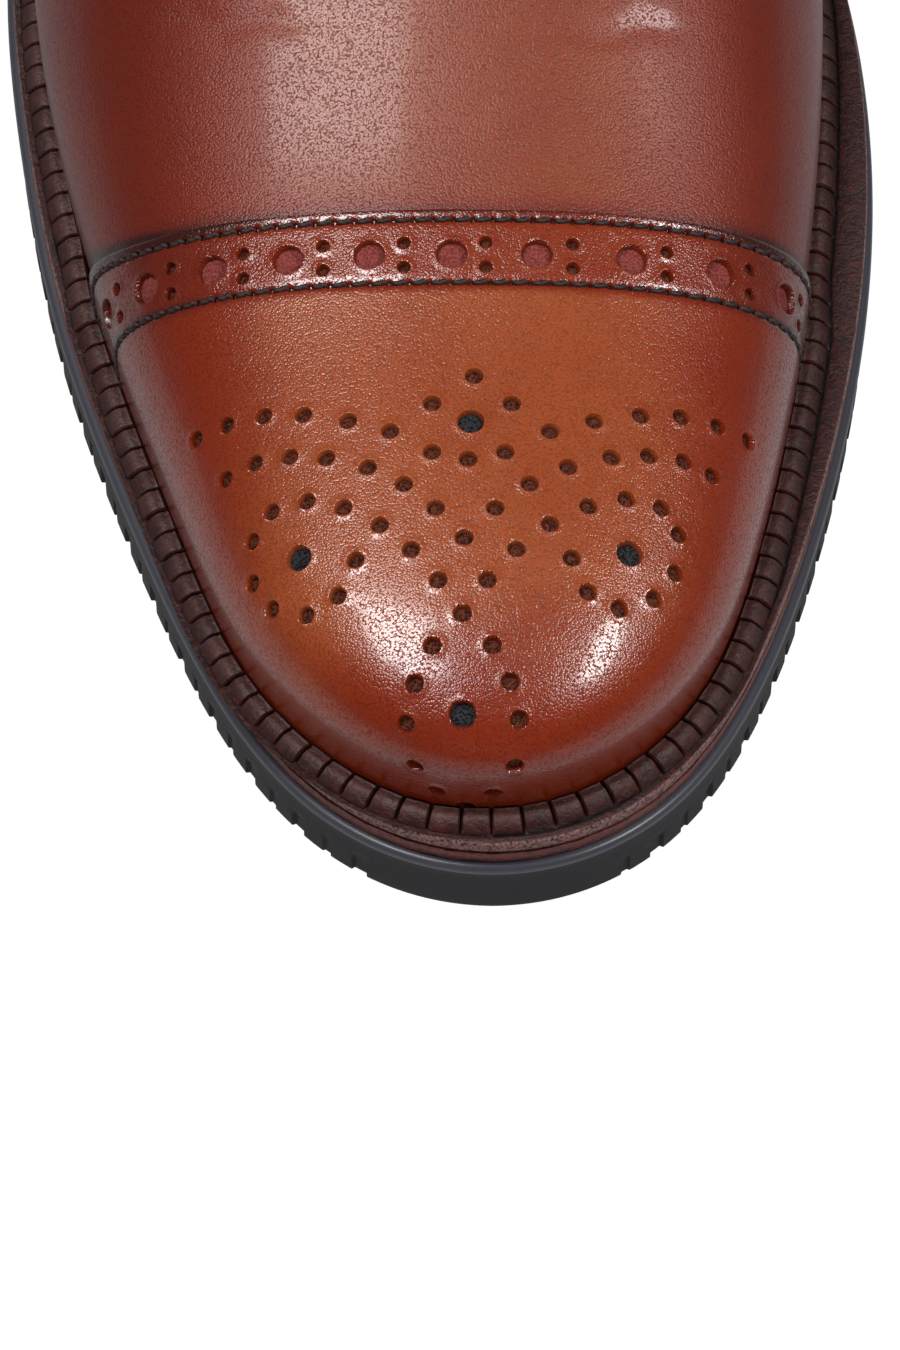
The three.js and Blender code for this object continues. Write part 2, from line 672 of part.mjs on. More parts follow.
// Walks round the sole's edge and gives a point and inward direction at every pitch.
function edgeWalk(from, to, pitch, inset) {
  const found = [];
  for (const side of ["medial", "lateral"]) {
    const edge = soleEdge(side, inset);
    const steps = 600;
    let run = pitch / 2;
    let before = edge(eased(from));
    for (let i = 1; i <= steps; i++) {
      const angle = eased(from) + ((eased(to) - eased(from)) * i) / steps;
      const here = edge(angle);
      run += here.distanceTo(before);
      if (run >= pitch) {
        run -= pitch;
        const inner = soleEdge(side, inset + 1)(angle);
        found.push({ point: here, inward: inner.sub(here).normalize() });
      }
      before = here;
    }
  }
  return found;
}

// The gaps between the lugs, in plan: notches round the side, every second one open to a groove
// that runs round inside the rim of long lugs, and a lattice of grooves in the field within.
function treadGaps(from, to, pitch) {
  const gaps = edgeWalk(from, to, pitch, 0).map(({ point, inward }, i) => {
    const open = i % 2 === 1;
    const reach = open ? RIM_LUG_LENGTH + 1 : SIDE_NOTCH_DEPTH;
    const width = open ? OPEN_NOTCH_WIDTH : SIDE_NOTCH_WIDTH;
    const centre = point.addScaledVector(inward, (reach - 1) / 2);
    return planPrism(bar(centre, inward, reach + 1, width), -1, FAR);
  });
  const inside = (inset) =>
    soleLayer(
      [
        { inset, height: -1 },
        { inset, height: FAR },
      ],
      { from, to, steps: 30, base: () => 0 },
    );
  const field = inside(RIM_LUG_LENGTH + GROOVE_WIDTH);
  const middle = new THREE.Vector2(0, alongSole((from + to) / 2));
  const length = 3 * SOLE_WIDTH;
  const step = CENTRE_LUG_PITCH * Math.SQRT2;
  const count = Math.ceil(length / 2 / step);
  const lattice = [];
  for (const slant of [1, -1]) {
    const direction = new THREE.Vector2(1, slant).normalize();
    for (let i = -count; i <= count; i++) {
      const centre = middle.clone().setY(middle.y + i * step);
      lattice.push(planPrism(bar(centre, direction, length, GROOVE_WIDTH), -1, FAR));
    }
  }
  const ring = inside(RIM_LUG_LENGTH).subtract(field);
  const reach = inside(RIM_LUG_LENGTH + GROOVE_WIDTH / 2);
  return joined(gaps).add(ring).add(joined(lattice).intersect(reach));
}

function buildOutsole() {
  const body = soleLayer([
    { inset: 0, height: 0 },
    { inset: 0, height: RUBBER - RUBBER_BEVEL },
    { inset: RUBBER_BEVEL, height: RUBBER },
  ]);
  const waist = planPrism(
    [
      { x: -FAR, y: alongSole(LUGS_END) },
      { x: FAR, y: alongSole(LUGS_END) },
      { x: FAR, y: FAR },
      { x: -FAR, y: FAR },
    ],
    -FAR,
    FAR,
  );
  const gaps = treadGaps(LUGS_START, LUGS_END, SIDE_NOTCH_PITCH).add(waist);
  return body.subtract(gaps.subtract(above(LUG_DEPTH)));
}

// The heel: lifts of leather on a lugged rubber top piece
const HEEL_TOP = HEEL_RISE + LUG_DEPTH;
const flat = () => 0;
function heelLayer(low, high, lowInset, highInset) {
  return soleLayer(
    [
      { inset: lowInset, height: low },
      { inset: highInset, height: high },
    ],
    { from: HEEL_BREAST, to: 1, steps: 24, base: flat },
  );
}
function breastCut() {
  const radius = SOLE_WIDTH * 0.8;
  const y = alongSole(HEEL_BREAST) + 5 - radius;
  const points = [];
  for (let i = 0; i < 64; i++) {
    const angle = (2 * Math.PI * i) / 64;
    points.push({ x: radius * Math.cos(angle), y: y + radius * Math.sin(angle) });
  }
  return planPrism(points, -1, HEEL_TOP + 1);
}
function buildHeel() {
  const pieces = {};
  const inset = (z) => HEEL_TAPER * (1 - z / HEEL_TOP);
  const breast = breastCut();
  const block = heelLayer(0, HEEL_TOP_PIECE, HEEL_TAPER, inset(HEEL_TOP_PIECE));
  const low = heelLayer(-1, LUG_DEPTH, -1, -1);
  pieces.heel_top_piece = block.subtract(treadGaps(HEEL_BREAST, 1, HEEL_NOTCH_PITCH).intersect(low)).subtract(breast);
  const start = HEEL_TOP_PIECE + GAP;
  const lift = (HEEL_TOP - GAP - start + GAP) / HEEL_LIFTS;
  for (let i = 0; i < HEEL_LIFTS; i++) {
    const low = start + i * lift;
    const high = low + lift - GAP;
    pieces[`heel_lift_${i + 1}`] = heelLayer(low, high, inset(low), inset(high)).subtract(breast);
  }
  return pieces;
}

// Finishes, as colours of the real materials
const FINISH = {
  calf: { color: 0x8a3d1c, roughness: 0.35, metalness: 0 },
  lining: { color: 0x9c6a3f, roughness: 0.8, metalness: 0 },
  dark_leather: { color: 0x2e1812, roughness: 0.55, metalness: 0 },
  rubber: { color: 0x1b191c, roughness: 0.7, metalness: 0 },
  lace: { color: 0x2b1710, roughness: 0.85, metalness: 0 },
};

function mesh(name, made, finish) {
  const { vertProperties, triVerts } = made.getMesh();
  const geometry = new THREE.BufferGeometry();
  geometry.setAttribute("position", new THREE.BufferAttribute(vertProperties, 3));
  geometry.setIndex(new THREE.BufferAttribute(triVerts, 1));
  geometry.computeVertexNormals();
  const part = new THREE.Mesh(geometry, new THREE.MeshStandardMaterial(FINISH[finish]));
  part.name = name;
  return part;
}

const shoe = new THREE.Group();
shoe.add(mesh("outsole", buildOutsole(), "rubber"));
for (const [name, made] of Object.entries(buildHeel())) {
  shoe.add(mesh(name, made, name === "heel_top_piece" ? "rubber" : "dark_leather"));
}
shoe.add(mesh("midsole", buildMidsole(), "dark_leather"));
shoe.add(mesh("welt", buildWelt(), "dark_leather"));
shoe.add(mesh("upper", buildUpper(), "calf"));
shoe.add(mesh("insole", buildInsole(), "lining"));
shoe.add(mesh("tongue", buildTongue(), "calf"));
for (let pair = 0; pair < EYELET_PAIRS; pair++) {
  shoe.add(mesh(`lace_bar_${pair + 1}`, laceBar(pair), "lace"));
}

export default shoe;
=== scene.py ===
import math

import bpy
import numpy as np
from mathutils import Matrix, Vector
from mathutils.geometry import delaunay_2d_cdt as delaunay


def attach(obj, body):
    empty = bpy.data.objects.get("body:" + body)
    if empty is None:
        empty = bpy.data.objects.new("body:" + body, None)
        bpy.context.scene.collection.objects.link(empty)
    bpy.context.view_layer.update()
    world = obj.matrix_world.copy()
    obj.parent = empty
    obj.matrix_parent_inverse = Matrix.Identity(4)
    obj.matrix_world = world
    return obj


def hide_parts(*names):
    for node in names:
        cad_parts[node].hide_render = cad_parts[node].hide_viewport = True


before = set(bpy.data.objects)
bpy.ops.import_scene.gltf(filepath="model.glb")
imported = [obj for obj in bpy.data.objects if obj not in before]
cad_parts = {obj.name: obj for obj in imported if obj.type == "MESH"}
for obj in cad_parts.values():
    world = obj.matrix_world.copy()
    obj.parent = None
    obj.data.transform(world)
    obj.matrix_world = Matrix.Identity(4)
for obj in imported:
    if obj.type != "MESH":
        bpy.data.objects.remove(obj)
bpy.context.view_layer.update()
bpy.ops.object.select_all(action="DESELECT")

# Camera
# A front view from 60 degrees above the toe, close enough for a slight perspective, with the
# ankle beyond the upper edge of the picture.
CAMERA_ELEVATION = math.radians(60)
CAMERA_DISTANCE = 0.65
CAMERA_AIM = (0.0019, -0.1264, 0.02)
camera_data = bpy.data.cameras.new("camera")
camera = bpy.data.objects.new("camera", camera_data)
bpy.context.scene.collection.objects.link(camera)
bpy.context.scene.camera = camera
camera_data.lens = 148.56
camera_data.sensor_width = 36
camera_data.clip_start = 0.05
camera.location = (
    CAMERA_AIM[0],
    CAMERA_AIM[1] - CAMERA_DISTANCE * math.cos(CAMERA_ELEVATION),
    CAMERA_AIM[2] + CAMERA_DISTANCE * math.sin(CAMERA_ELEVATION),
)
camera.rotation_euler = (math.pi / 2 - CAMERA_ELEVATION, 0, 0)

# Floor and light
# A white paper sweep under three soft boxes: one above each side, for the paired highlights of the
# toe and the sheen of the walls, and a wide one in front that only fills the shade.
bpy.context.scene.view_settings.view_transform = "Standard"
bpy.ops.mesh.primitive_plane_add(size=6, location=(0, 0, 0))
floor = bpy.context.object
floor.name = "floor"
paper = bpy.data.materials.new("paper")
paper.use_nodes = True
paper_tree = paper.node_tree
paper_tree.nodes["Principled BSDF"].inputs["Base Color"].default_value = (0.42, 0.42, 0.43, 1)
paper_tree.nodes["Principled BSDF"].inputs["Roughness"].default_value = 0.9
bleached = paper_tree.nodes.new("ShaderNodeEmission")
bleached.inputs["Color"].default_value = (1, 1, 1, 1)
bleached.inputs["Strength"].default_value = 1.08
seen = paper_tree.nodes.new("ShaderNodeLightPath")
share = paper_tree.nodes.new("ShaderNodeMath")
share.operation = "MULTIPLY"
share.inputs[1].default_value = 0.93
blend = paper_tree.nodes.new("ShaderNodeMixShader")
paper_tree.links.new(seen.outputs["Is Camera Ray"], share.inputs[0])
paper_tree.links.new(share.outputs[0], blend.inputs[0])
paper_tree.links.new(paper_tree.nodes["Principled BSDF"].outputs[0], blend.inputs[1])
paper_tree.links.new(bleached.outputs[0], blend.inputs[2])
paper_tree.links.new(blend.outputs[0], paper_tree.nodes["Material Output"].inputs["Surface"])
floor.data.materials.append(paper)
world = bpy.data.worlds.new("studio")
bpy.context.scene.world = world
world.use_nodes = True
world.node_tree.nodes["Background"].inputs["Color"].default_value = (1, 1, 1, 1)
world.node_tree.nodes["Background"].inputs["Strength"].default_value = 0.07


def soft_box(name, azimuth, elevation, distance, size, watts, aim=(0, -0.11, 0.03)):
    """A rectangular lamp aimed at the shoe, its second side along the shoe's length."""
    data = bpy.data.lights.new(name, "AREA")
    data.shape = "RECTANGLE"
    data.size = size[0]
    data.size_y = size[1]
    data.energy = watts
    lamp = bpy.data.objects.new(name, data)
    bpy.context.scene.collection.objects.link(lamp)
    turn = math.radians(azimuth)
    rise = math.radians(elevation)
    way = Vector((math.sin(turn) * math.cos(rise), -math.cos(turn) * math.cos(rise), math.sin(rise)))
    aside = Vector((0, 1, 0.01)).cross(way).normalized()
    lamp.location = Vector(aim) + way * distance
    lamp.rotation_euler = Matrix((aside, way.cross(aside), way)).transposed().to_euler()
    return lamp


soft_box("left_box", -108, 70, 1.2, (0.46, 0.34), 11.5)
soft_box("right_box", 93, 53, 1.2, (0.22, 0.36), 8)
front_fill = soft_box("front_fill", 0, 30, 1.2, (0.8, 0.3), 6)
front_fill.visible_glossy = False

# Toe cap
# A piece of polished calf, lasted over the vamp. Its rear edge is punched with the row of large
# holes and small pairs and sewn down twice, and its tip carries the punched medallion.
MM = 0.001
SOLE_LENGTH = 304
SOLE_FRONT = -152
UPPER_FRONT = -147.2
UPPER_LENGTH = 296.2
UPPER_HALF_WIDTH = 50
INSTEP_HEIGHT = 73
WELT_TOP = 14
TOE_SPRING = 11
SPRING_END = 0.29
SPRING_POWER = 1.8
HEEL_RISE = 19
ARCH_START = 0.43
ARCH_RUN = 0.3
UNDER_CURVE = 2.6
FEATHER_SINK = 1.8
HALVINGS = 34
LAST_COLUMNS = ("at", "lateral", "medial", "ridge", "mid", "top", "under", "arch", "over_l", "over_m")
LAST = np.array((
    (0, -0.11, 0.11, 0.11, 0.123, 0.123, 0, 0, 2.1, 2.1),
    (0.03, 0.262, 0.496, 0.1, 0.118, 0.245, 0.37, 0.37, 2.15, 2.15),
    (0.07, 0.446, 0.66, 0.088, 0.112, 0.3, 0.38, 0.38, 2.2, 2.2),
    (0.13, 0.594, 0.776, 0.076, 0.108, 0.344, 0.37, 0.37, 2.25, 2.3),
    (0.2, 0.738, 0.866, 0.076, 0.105, 0.381, 0.37, 0.37, 2.2, 2.25),
    (0.28, 0.885, 0.94, 0.084, 0.112, 0.452, 0.38, 0.37, 2.1, 2.2),
    (0.36, 0.99, 0.978, 0.1, 0.129, 0.547, 0.4, 0.38, 1.95, 2.1),
    (0.44, 1.03, 0.965, 0.13, 0.155, 0.66, 0.45, 0.4, 1.85, 2),
    (0.53, 0.97, 0.84, 0.15, 0.201, 0.805, 0.52, 0.42, 1.8, 1.9),
    (0.62, 0.86, 0.7, 0.14, 0.252, 1, 0.59, 0.47, 1.8, 1.85),
    (0.71, 0.73, 0.6, 0.085, 0.274, 1.137, 0.62, 0.52, 1.8, 1.8),
    (0.8, 0.66, 0.6, 0.02, 0.274, 1.205, 0.62, 0.59, 1.8, 1.8),
    (0.88, 0.63, 0.585, -0.02, 0.274, 1.178, 0.62, 0.62, 1.85, 1.85),
    (0.95, 0.52, 0.48, -0.022, 0.274, 1.014, 0.58, 0.58, 1.95, 1.95),
    (1, 0.022, -0.022, -0.022, 0.274, 0.274, 0, 0, 2, 2),
))


def eased(share):
    return np.arccos(1 - 2 * np.clip(share, 0, 1))


def spline(places, values):
    """A natural cubic spline through rows of values, read at many places at once."""
    count = len(places)
    gaps = np.diff(places)
    slopes = np.diff(values, axis=0) / gaps[:, None]
    system = np.eye(count)
    sums = np.zeros(values.shape)
    for i in range(1, count - 1):
        system[i, i - 1:i + 2] = gaps[i - 1], 2 * (gaps[i - 1] + gaps[i]), gaps[i]
        sums[i] = 6 * (slopes[i] - slopes[i - 1])
    bends = np.linalg.solve(system, sums)

    def read(place):
        i = np.clip(np.searchsorted(places, place) - 1, 0, count - 2)
        gap = gaps[i][:, None]
        before = (places[i + 1] - place)[:, None] / gap
        after = 1 - before
        straight = before * values[i] + after * values[i + 1]
        curved = (before ** 3 - before) * bends[i] + (after ** 3 - after) * bends[i + 1]
        return straight + curved * gap ** 2 / 6

    return read


read_last = spline(eased(LAST[:, 0]), LAST[:, 1:])


def tread_height(y):
    """How high the sole's underside runs: the toe spring, the flat tread and the rise to the heel."""
    share = np.clip((y - SOLE_FRONT) / SOLE_LENGTH, 0, 1)
    climb = np.clip((share - ARCH_START) / ARCH_RUN, 0, 1)
    spring = TOE_SPRING * np.maximum(0, 1 - share / SPRING_END) ** SPRING_POWER
    return spring + HEEL_RISE * climb ** 2 * (3 - 2 * climb)


def welt_height(y):
    return tread_height(y) + WELT_TOP


def feather_height(y):
    """Where the leathers of the upper end, a little down behind the welt."""
    return welt_height(y) - FEATHER_SINK


def last_rows(y):
    """The section of the last at y: centre, half widths, heights and curves, in millimetres."""
    share = (y - UPPER_FRONT) / UPPER_LENGTH
    row = dict(zip(LAST_COLUMNS[1:], read_last(eased(share)).T))
    wide = UPPER_HALF_WIDTH
    return {
        "x": row["ridge"] * wide,
        "z": welt_height(y) + row["mid"] * INSTEP_HEIGHT,
        "lateral": np.maximum((row["lateral"] + row["ridge"]) * wide, 1e-4),
        "medial": np.maximum((row["medial"] - row["ridge"]) * wide, 1e-4),
        "top": np.maximum((row["top"] - row["mid"]) * INSTEP_HEIGHT, 1e-4),
        "under": np.maximum(row["under"] * INSTEP_HEIGHT, 1e-4),
        "arch": np.maximum(row["arch"] * INSTEP_HEIGHT, 1e-4),
        "over_l": row["over_l"],
        "over_m": row["over_m"],
    }


def section_part(row, inner, above):
    """Half width, height and curve of the quarter of the section that a point lies in."""
    wide = np.where(inner, row["medial"], row["lateral"])
    tall = np.where(above, row["top"], np.where(inner, row["arch"], row["under"]))
    curve = np.where(above, np.where(inner, row["over_m"], row["over_l"]), UNDER_CURVE)
    return wide, tall, curve


def depth_field(points):
    """Below zero inside the last, zero on its surface."""
    row = last_rows(points[:, 1])
    across = points[:, 0] - row["x"]
    rise = points[:, 2] - row["z"]
    wide, tall, curve = section_part(row, across >= 0, rise >= 0)
    field = (np.abs(across) / wide) ** curve + (np.abs(rise) / tall) ** curve - 1
    share = (points[:, 1] - UPPER_FRONT) / UPPER_LENGTH
    return np.where((share <= 0) | (share >= 1), 10.0, field)


def last_normals(points):
    reach = 0.05
    steps = np.eye(3) * reach
    slopes = np.stack([depth_field(points + s) - depth_field(points - s) for s in steps], axis=1)
    return slopes / np.linalg.norm(slopes, axis=1, keepdims=True)


def reach_inside(count, far, spots):
    """How far each of a number of ways stays inside the last, by halving the stretch up to far."""
    near, away = np.zeros(count), np.full(count, far)
    for _ in range(HALVINGS):
        middle = (near + away) / 2
        inside = depth_field(spots(middle)) < 0
        near, away = np.where(inside, middle, near), np.where(inside, away, middle)
    return near


def hit_last(start, ways, far=190.0):
    """Where rays from inside the last leave it."""
    def spots(run):
        return start + ways * run[:, None]

    return spots(reach_inside(len(ways), far, spots))


def around_last(y, turn):
    """The last's surface at y, at the angle turn round its section from the inner side upwards."""
    row = last_rows(y)
    across, rise = np.cos(turn), np.sin(turn)
    wide, tall, curve = section_part(row, across >= 0, rise >= 0)
    reach = ((np.abs(across) / wide) ** curve + (np.abs(rise) / tall) ** curve) ** (-1 / curve)
    return np.stack([row["x"] + across * reach, y, row["z"] + rise * reach], axis=1)


class DirectionChart:
    """A stretch of the last laid flat by direction from a point inside it, roughly in millimetres."""

    reach = 45.0

    def __init__(self, heart, right, up):
        self.heart = np.array(heart, dtype=float)
        self.axes = np.array((right, up, np.cross(right, up)), dtype=float)

    def to_plane(self, points):
        way = (points - self.heart) @ self.axes.T
        level = np.hypot(way[:, 0], way[:, 1])
        polar = np.arctan2(level, way[:, 2])
        return way[:, :2] * (self.reach * polar / np.maximum(level, 1e-9))[:, None]

    def to_last(self, plane):
        polar = np.hypot(plane[:, 0], plane[:, 1]) / self.reach
        level = np.sin(polar) / np.maximum(polar, 1e-9) / self.reach
        ways = np.stack([plane[:, 0] * level, plane[:, 1] * level, np.cos(polar)], axis=1)
        return hit_last(self.heart, ways @ self.axes)


def lengths_along(line):
    return np.concatenate([[0], np.cumsum(np.linalg.norm(np.diff(line, axis=0), axis=1))])


def spots_at(at, run, line):
    """The points of a line at given lengths, where run holds the lengths of its own points."""
    return np.stack([np.interp(at, run, line[:, k]) for k in range(line.shape[1])], axis=-1)


def evenly(points, pitch, closed=False, count=None):
    """A polyline's points set anew at even steps of about the pitch, or in a given number."""
    if closed:
        points = np.vstack([points, points[:1]])
    run = lengths_along(points)
    count = count or max(2, round(run[-1] / pitch) + 1)
    fresh = spots_at(np.linspace(0, run[-1], count), run, points)
    return fresh[:-1] if closed else fresh


CAP_EDGE_Y = -77.14
CAP_MIDDLE_X = 4
CAP_HALF_SPAN = 50
CAP_SWEEP = 3
CAP_CORNER = 7.6


def cap_edge_y(x, back=0.0):
    """Where the cap's cut edge crosses x, less a distance towards the toe."""
    off = (x - CAP_MIDDLE_X) / CAP_HALF_SPAN
    return CAP_EDGE_Y + CAP_SWEEP * off ** 2 + CAP_CORNER * np.abs(off) ** 14 - back


def across_cap(back, pitch, margin=0.0, count=None):
    """A line over the foot parallel to the cap's edge, from the outer to the inner welt."""
    turn = np.radians(np.linspace(235, -55, 1400))
    y = np.full(len(turn), cap_edge_y(CAP_MIDDLE_X, back))
    for _ in range(12):
        y = cap_edge_y(around_last(y, turn)[:, 0], back)
    line = around_last(y, turn)
    kept = line[:, 2] > feather_height(line[:, 1]) + margin
    return evenly(line[kept], pitch, count=count)


def feather_line(heart, start, end, pitch):
    """The upper's lower edge at the welt, round the toe between two azimuths from the heart."""
    azimuth = np.radians(np.linspace(start, end, 900))
    ways = np.stack([np.cos(azimuth), np.sin(azimuth)], axis=1)

    def spots(run):
        flat = heart[:2] + ways * run[:, None]
        return np.column_stack([flat, feather_height(flat[:, 1])])

    return evenly(spots(reach_inside(len(ways), 95.0, spots)), pitch)


def mesh_object(name, points, faces, marks=None, slots=None):
    """A mesh of points in millimetres, with marks on its points and material slots on its faces."""
    mesh = bpy.data.meshes.new(name)
    mesh.from_pydata((np.asarray(points) * MM).tolist(), [], faces)
    mesh.update()
    for mark, values in (marks or {}).items():
        layer = mesh.attributes.new(mark, "FLOAT", "POINT")
        layer.data.foreach_set("value", np.asarray(values, dtype=np.float32))
    if slots is not None:
        mesh.polygons.foreach_set("material_index", np.asarray(slots, dtype=np.int32))
    piece = bpy.data.objects.new(name, mesh)
    bpy.context.scene.collection.objects.link(piece)
    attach(piece, "root")
    return piece


def smooth(piece, degrees):
    """Shades a piece smoothly, except over edges that are sharper than the angle."""
    bpy.ops.object.select_all(action="DESELECT")
    piece.select_set(True)
    bpy.context.view_layer.objects.active = piece
    bpy.ops.object.shade_smooth_by_angle(angle=math.radians(degrees))
    piece.select_set(False)
    return piece


SMALL_HOLE = ((1.0, 0.0), (0.55, 0.02), (0.28, 0.08), (0.12, 0.06), (0.0, -0.14), (-0.06, -0.85))
NEEDLE_HOLE = ((0.22, 0.0), (0.06, -0.06), (-0.05, -0.6))
FLOOR_LEVEL = 0.82
STRIP_RADIUS, MESH_RADIUS, HOLE_RADIUS, PAIR_RADIUS, NEEDLE_RADIUS = 1.78, 1.5, 0.98, 0.72, 0.34
FLOOR_SLOTS = {STRIP_RADIUS: 2, MESH_RADIUS: 3}


def punched(centre, radius, profile, corners):
    """The rings of one punched hole, as points on the last with their heights and ring numbers."""
    normal = last_normals(centre[None])[0]
    along = np.cross(normal, (1.0, 0.0, 0.0))
    along /= np.linalg.norm(along)
    beside = np.cross(normal, along)
    turn = np.arange(corners) * 2 * math.pi / corners
    circle = np.outer(np.cos(turn), along) + np.outer(np.sin(turn), beside)
    rings = [centre + circle * (radius + out) for out, _ in profile]
    heights = [np.full(corners, rise) for _, rise in profile]
    levels = [np.full(corners, number) for number in range(len(profile))]
    rings.append(centre[None])
    heights.append(np.array([profile[-1][1] + 0.08 * radius]))
    levels.append(np.array([len(profile)]))
    return np.vstack(rings), np.concatenate(heights), np.concatenate(levels)


def panel(name, chart, outline, lines, holes, spacing, base_height, marks, thickness, rim, under_slot=0):
    """A closed piece of leather on the last, with its holes, from points laid flat and joined."""
    flat_outline = chart.to_plane(outline)
    low, high = flat_outline.min(axis=0), flat_outline.max(axis=0)
    step = np.array((spacing, spacing * math.sqrt(0.75)))
    rows = np.arange(low[1], high[1], step[1])
    lattice = []
    for number, row in enumerate(rows):
        across = np.arange(low[0] + (number % 2) * step[0] / 2, high[0], step[0])
        lattice.append(np.column_stack([across, np.full(len(across), row)]))
    lattice = np.vstack(lattice)
    lattice = lattice[inside_outline(lattice, flat_outline)]
    points = chart.to_last(lattice)
    keep = np.ones(len(points), bool)
    for line in [outline] + lines:
        keep &= distance_to(points, line) > 0.55 * spacing
    points = points[keep]
    if lines:
        points = np.vstack([points] + lines)
    extra, extra_height, extra_level, extra_profile = [], [], [], []
    keep = np.ones(len(points), bool)
    for centre, radius, profile, corners in holes:
        ring, height, level = punched(centre, radius, profile, corners)
        reach = radius + profile[0][0]
        keep &= np.linalg.norm(points - centre, axis=1) > reach + 0.16
        extra.append(ring)
        extra_height.append(height)
        extra_level.append(level / len(profile))
        extra_profile.append(np.full(len(ring), radius))
    points = points[keep]
    flat = chart.to_plane(np.vstack([outline, points] + extra))
    on_last = chart.to_last(flat)
    raised = np.concatenate([np.zeros(len(outline)), np.zeros(len(points))] + extra_height)
    level = np.concatenate([np.zeros(len(outline) + len(points))] + extra_level)
    size = np.concatenate([np.zeros(len(outline) + len(points))] + extra_profile)
    height = base_height(on_last) + raised
    height[:len(outline)] = rim
    count = len(outline)
    border = [(i, (i + 1) % count) for i in range(count)]
    laid = delaunay([Vector(p) for p in flat], border, [], 1, 1e-7)
    origin = np.array([o[0] for o in laid[3]])
    faces = [[origin[v] for v in face] for face in laid[2]]
    top = on_last + last_normals(on_last) * height[:, None]
    wide_step = spacing * 3
    coarse = low + np.indices(((high - low) / wide_step).astype(int) + 1).reshape(2, -1).T * wide_step
    coarse = coarse[inside_outline(coarse, flat_outline)]
    under = chart.to_last(coarse)
    keep = distance_to(under, outline) > spacing
    coarse, under = coarse[keep], under[keep]
    laid = delaunay([Vector(p) for p in np.vstack([flat[:count], coarse])], border, [], 1, 1e-7)
    origin = [o[0] + (0 if o[0] < count else len(top) - count) for o in laid[3]]
    below = [[origin[v] for v in face][::-1] for face in laid[2]]
    under = under - last_normals(under) * thickness
    values = marks(on_last, level, size)
    for mark in values:
        values[mark] = np.concatenate([values[mark], np.zeros(len(under))])
    slots = [
        FLOOR_SLOTS.get(size[face[0]], 1) if all(level[v] > FLOOR_LEVEL for v in face) else 0
        for face in faces
    ]
    slots += [under_slot] * len(below)
    return smooth(mesh_object(name, np.vstack([top, under]), faces + below, values, slots), 50)


def inside_outline(points, outline):
    """Which flat points lie inside a closed outline."""
    x, y = points[:, 0], points[:, 1]
    inside = np.zeros(len(points), bool)
    for (x1, y1), (x2, y2) in zip(outline, np.roll(outline, -1, axis=0)):
        crosses = (y1 > y) != (y2 > y)
        if y1 != y2:
            inside ^= crosses & (x < (x2 - x1) * (y - y1) / (y2 - y1) + x1)
    return inside


def distance_to(points, line, block=4000):
    """How far points are from the nearest point of a line, worked out a block at a time."""
    near = np.empty(len(points))
    for start in range(0, len(points), block):
        apart = points[start:start + block, None] - line[None]
        near[start:start + block] = np.linalg.norm(apart, axis=2).min(axis=1)
    return near


class Wire:
    """One output of a material's node. Arithmetic on it adds maths nodes."""

    def __init__(self, stuff, socket):
        self.stuff = stuff
        self.socket = socket

    def math(self, operation, *values, clamp=False):
        return self.stuff.node("ShaderNodeMath", values, operation=operation, use_clamp=clamp)

    def __add__(self, other):
        return self.math("ADD", self, other)

    __radd__ = __add__

    def __sub__(self, other):
        return self.math("SUBTRACT", self, other)

    def __rsub__(self, other):
        return self.math("SUBTRACT", other, self)

    def __mul__(self, other):
        return self.math("MULTIPLY", self, other)

    __rmul__ = __mul__

    def clamped(self):
        return self.math("ADD", self, 0.0, clamp=True)

    def step(self, low, high):
        """Runs smoothly from 0 at low to 1 at high."""
        return self.stuff.node(
            "ShaderNodeMapRange", {"Value": self, "From Min": low, "From Max": high},
            interpolation_type="SMOOTHSTEP",
        )


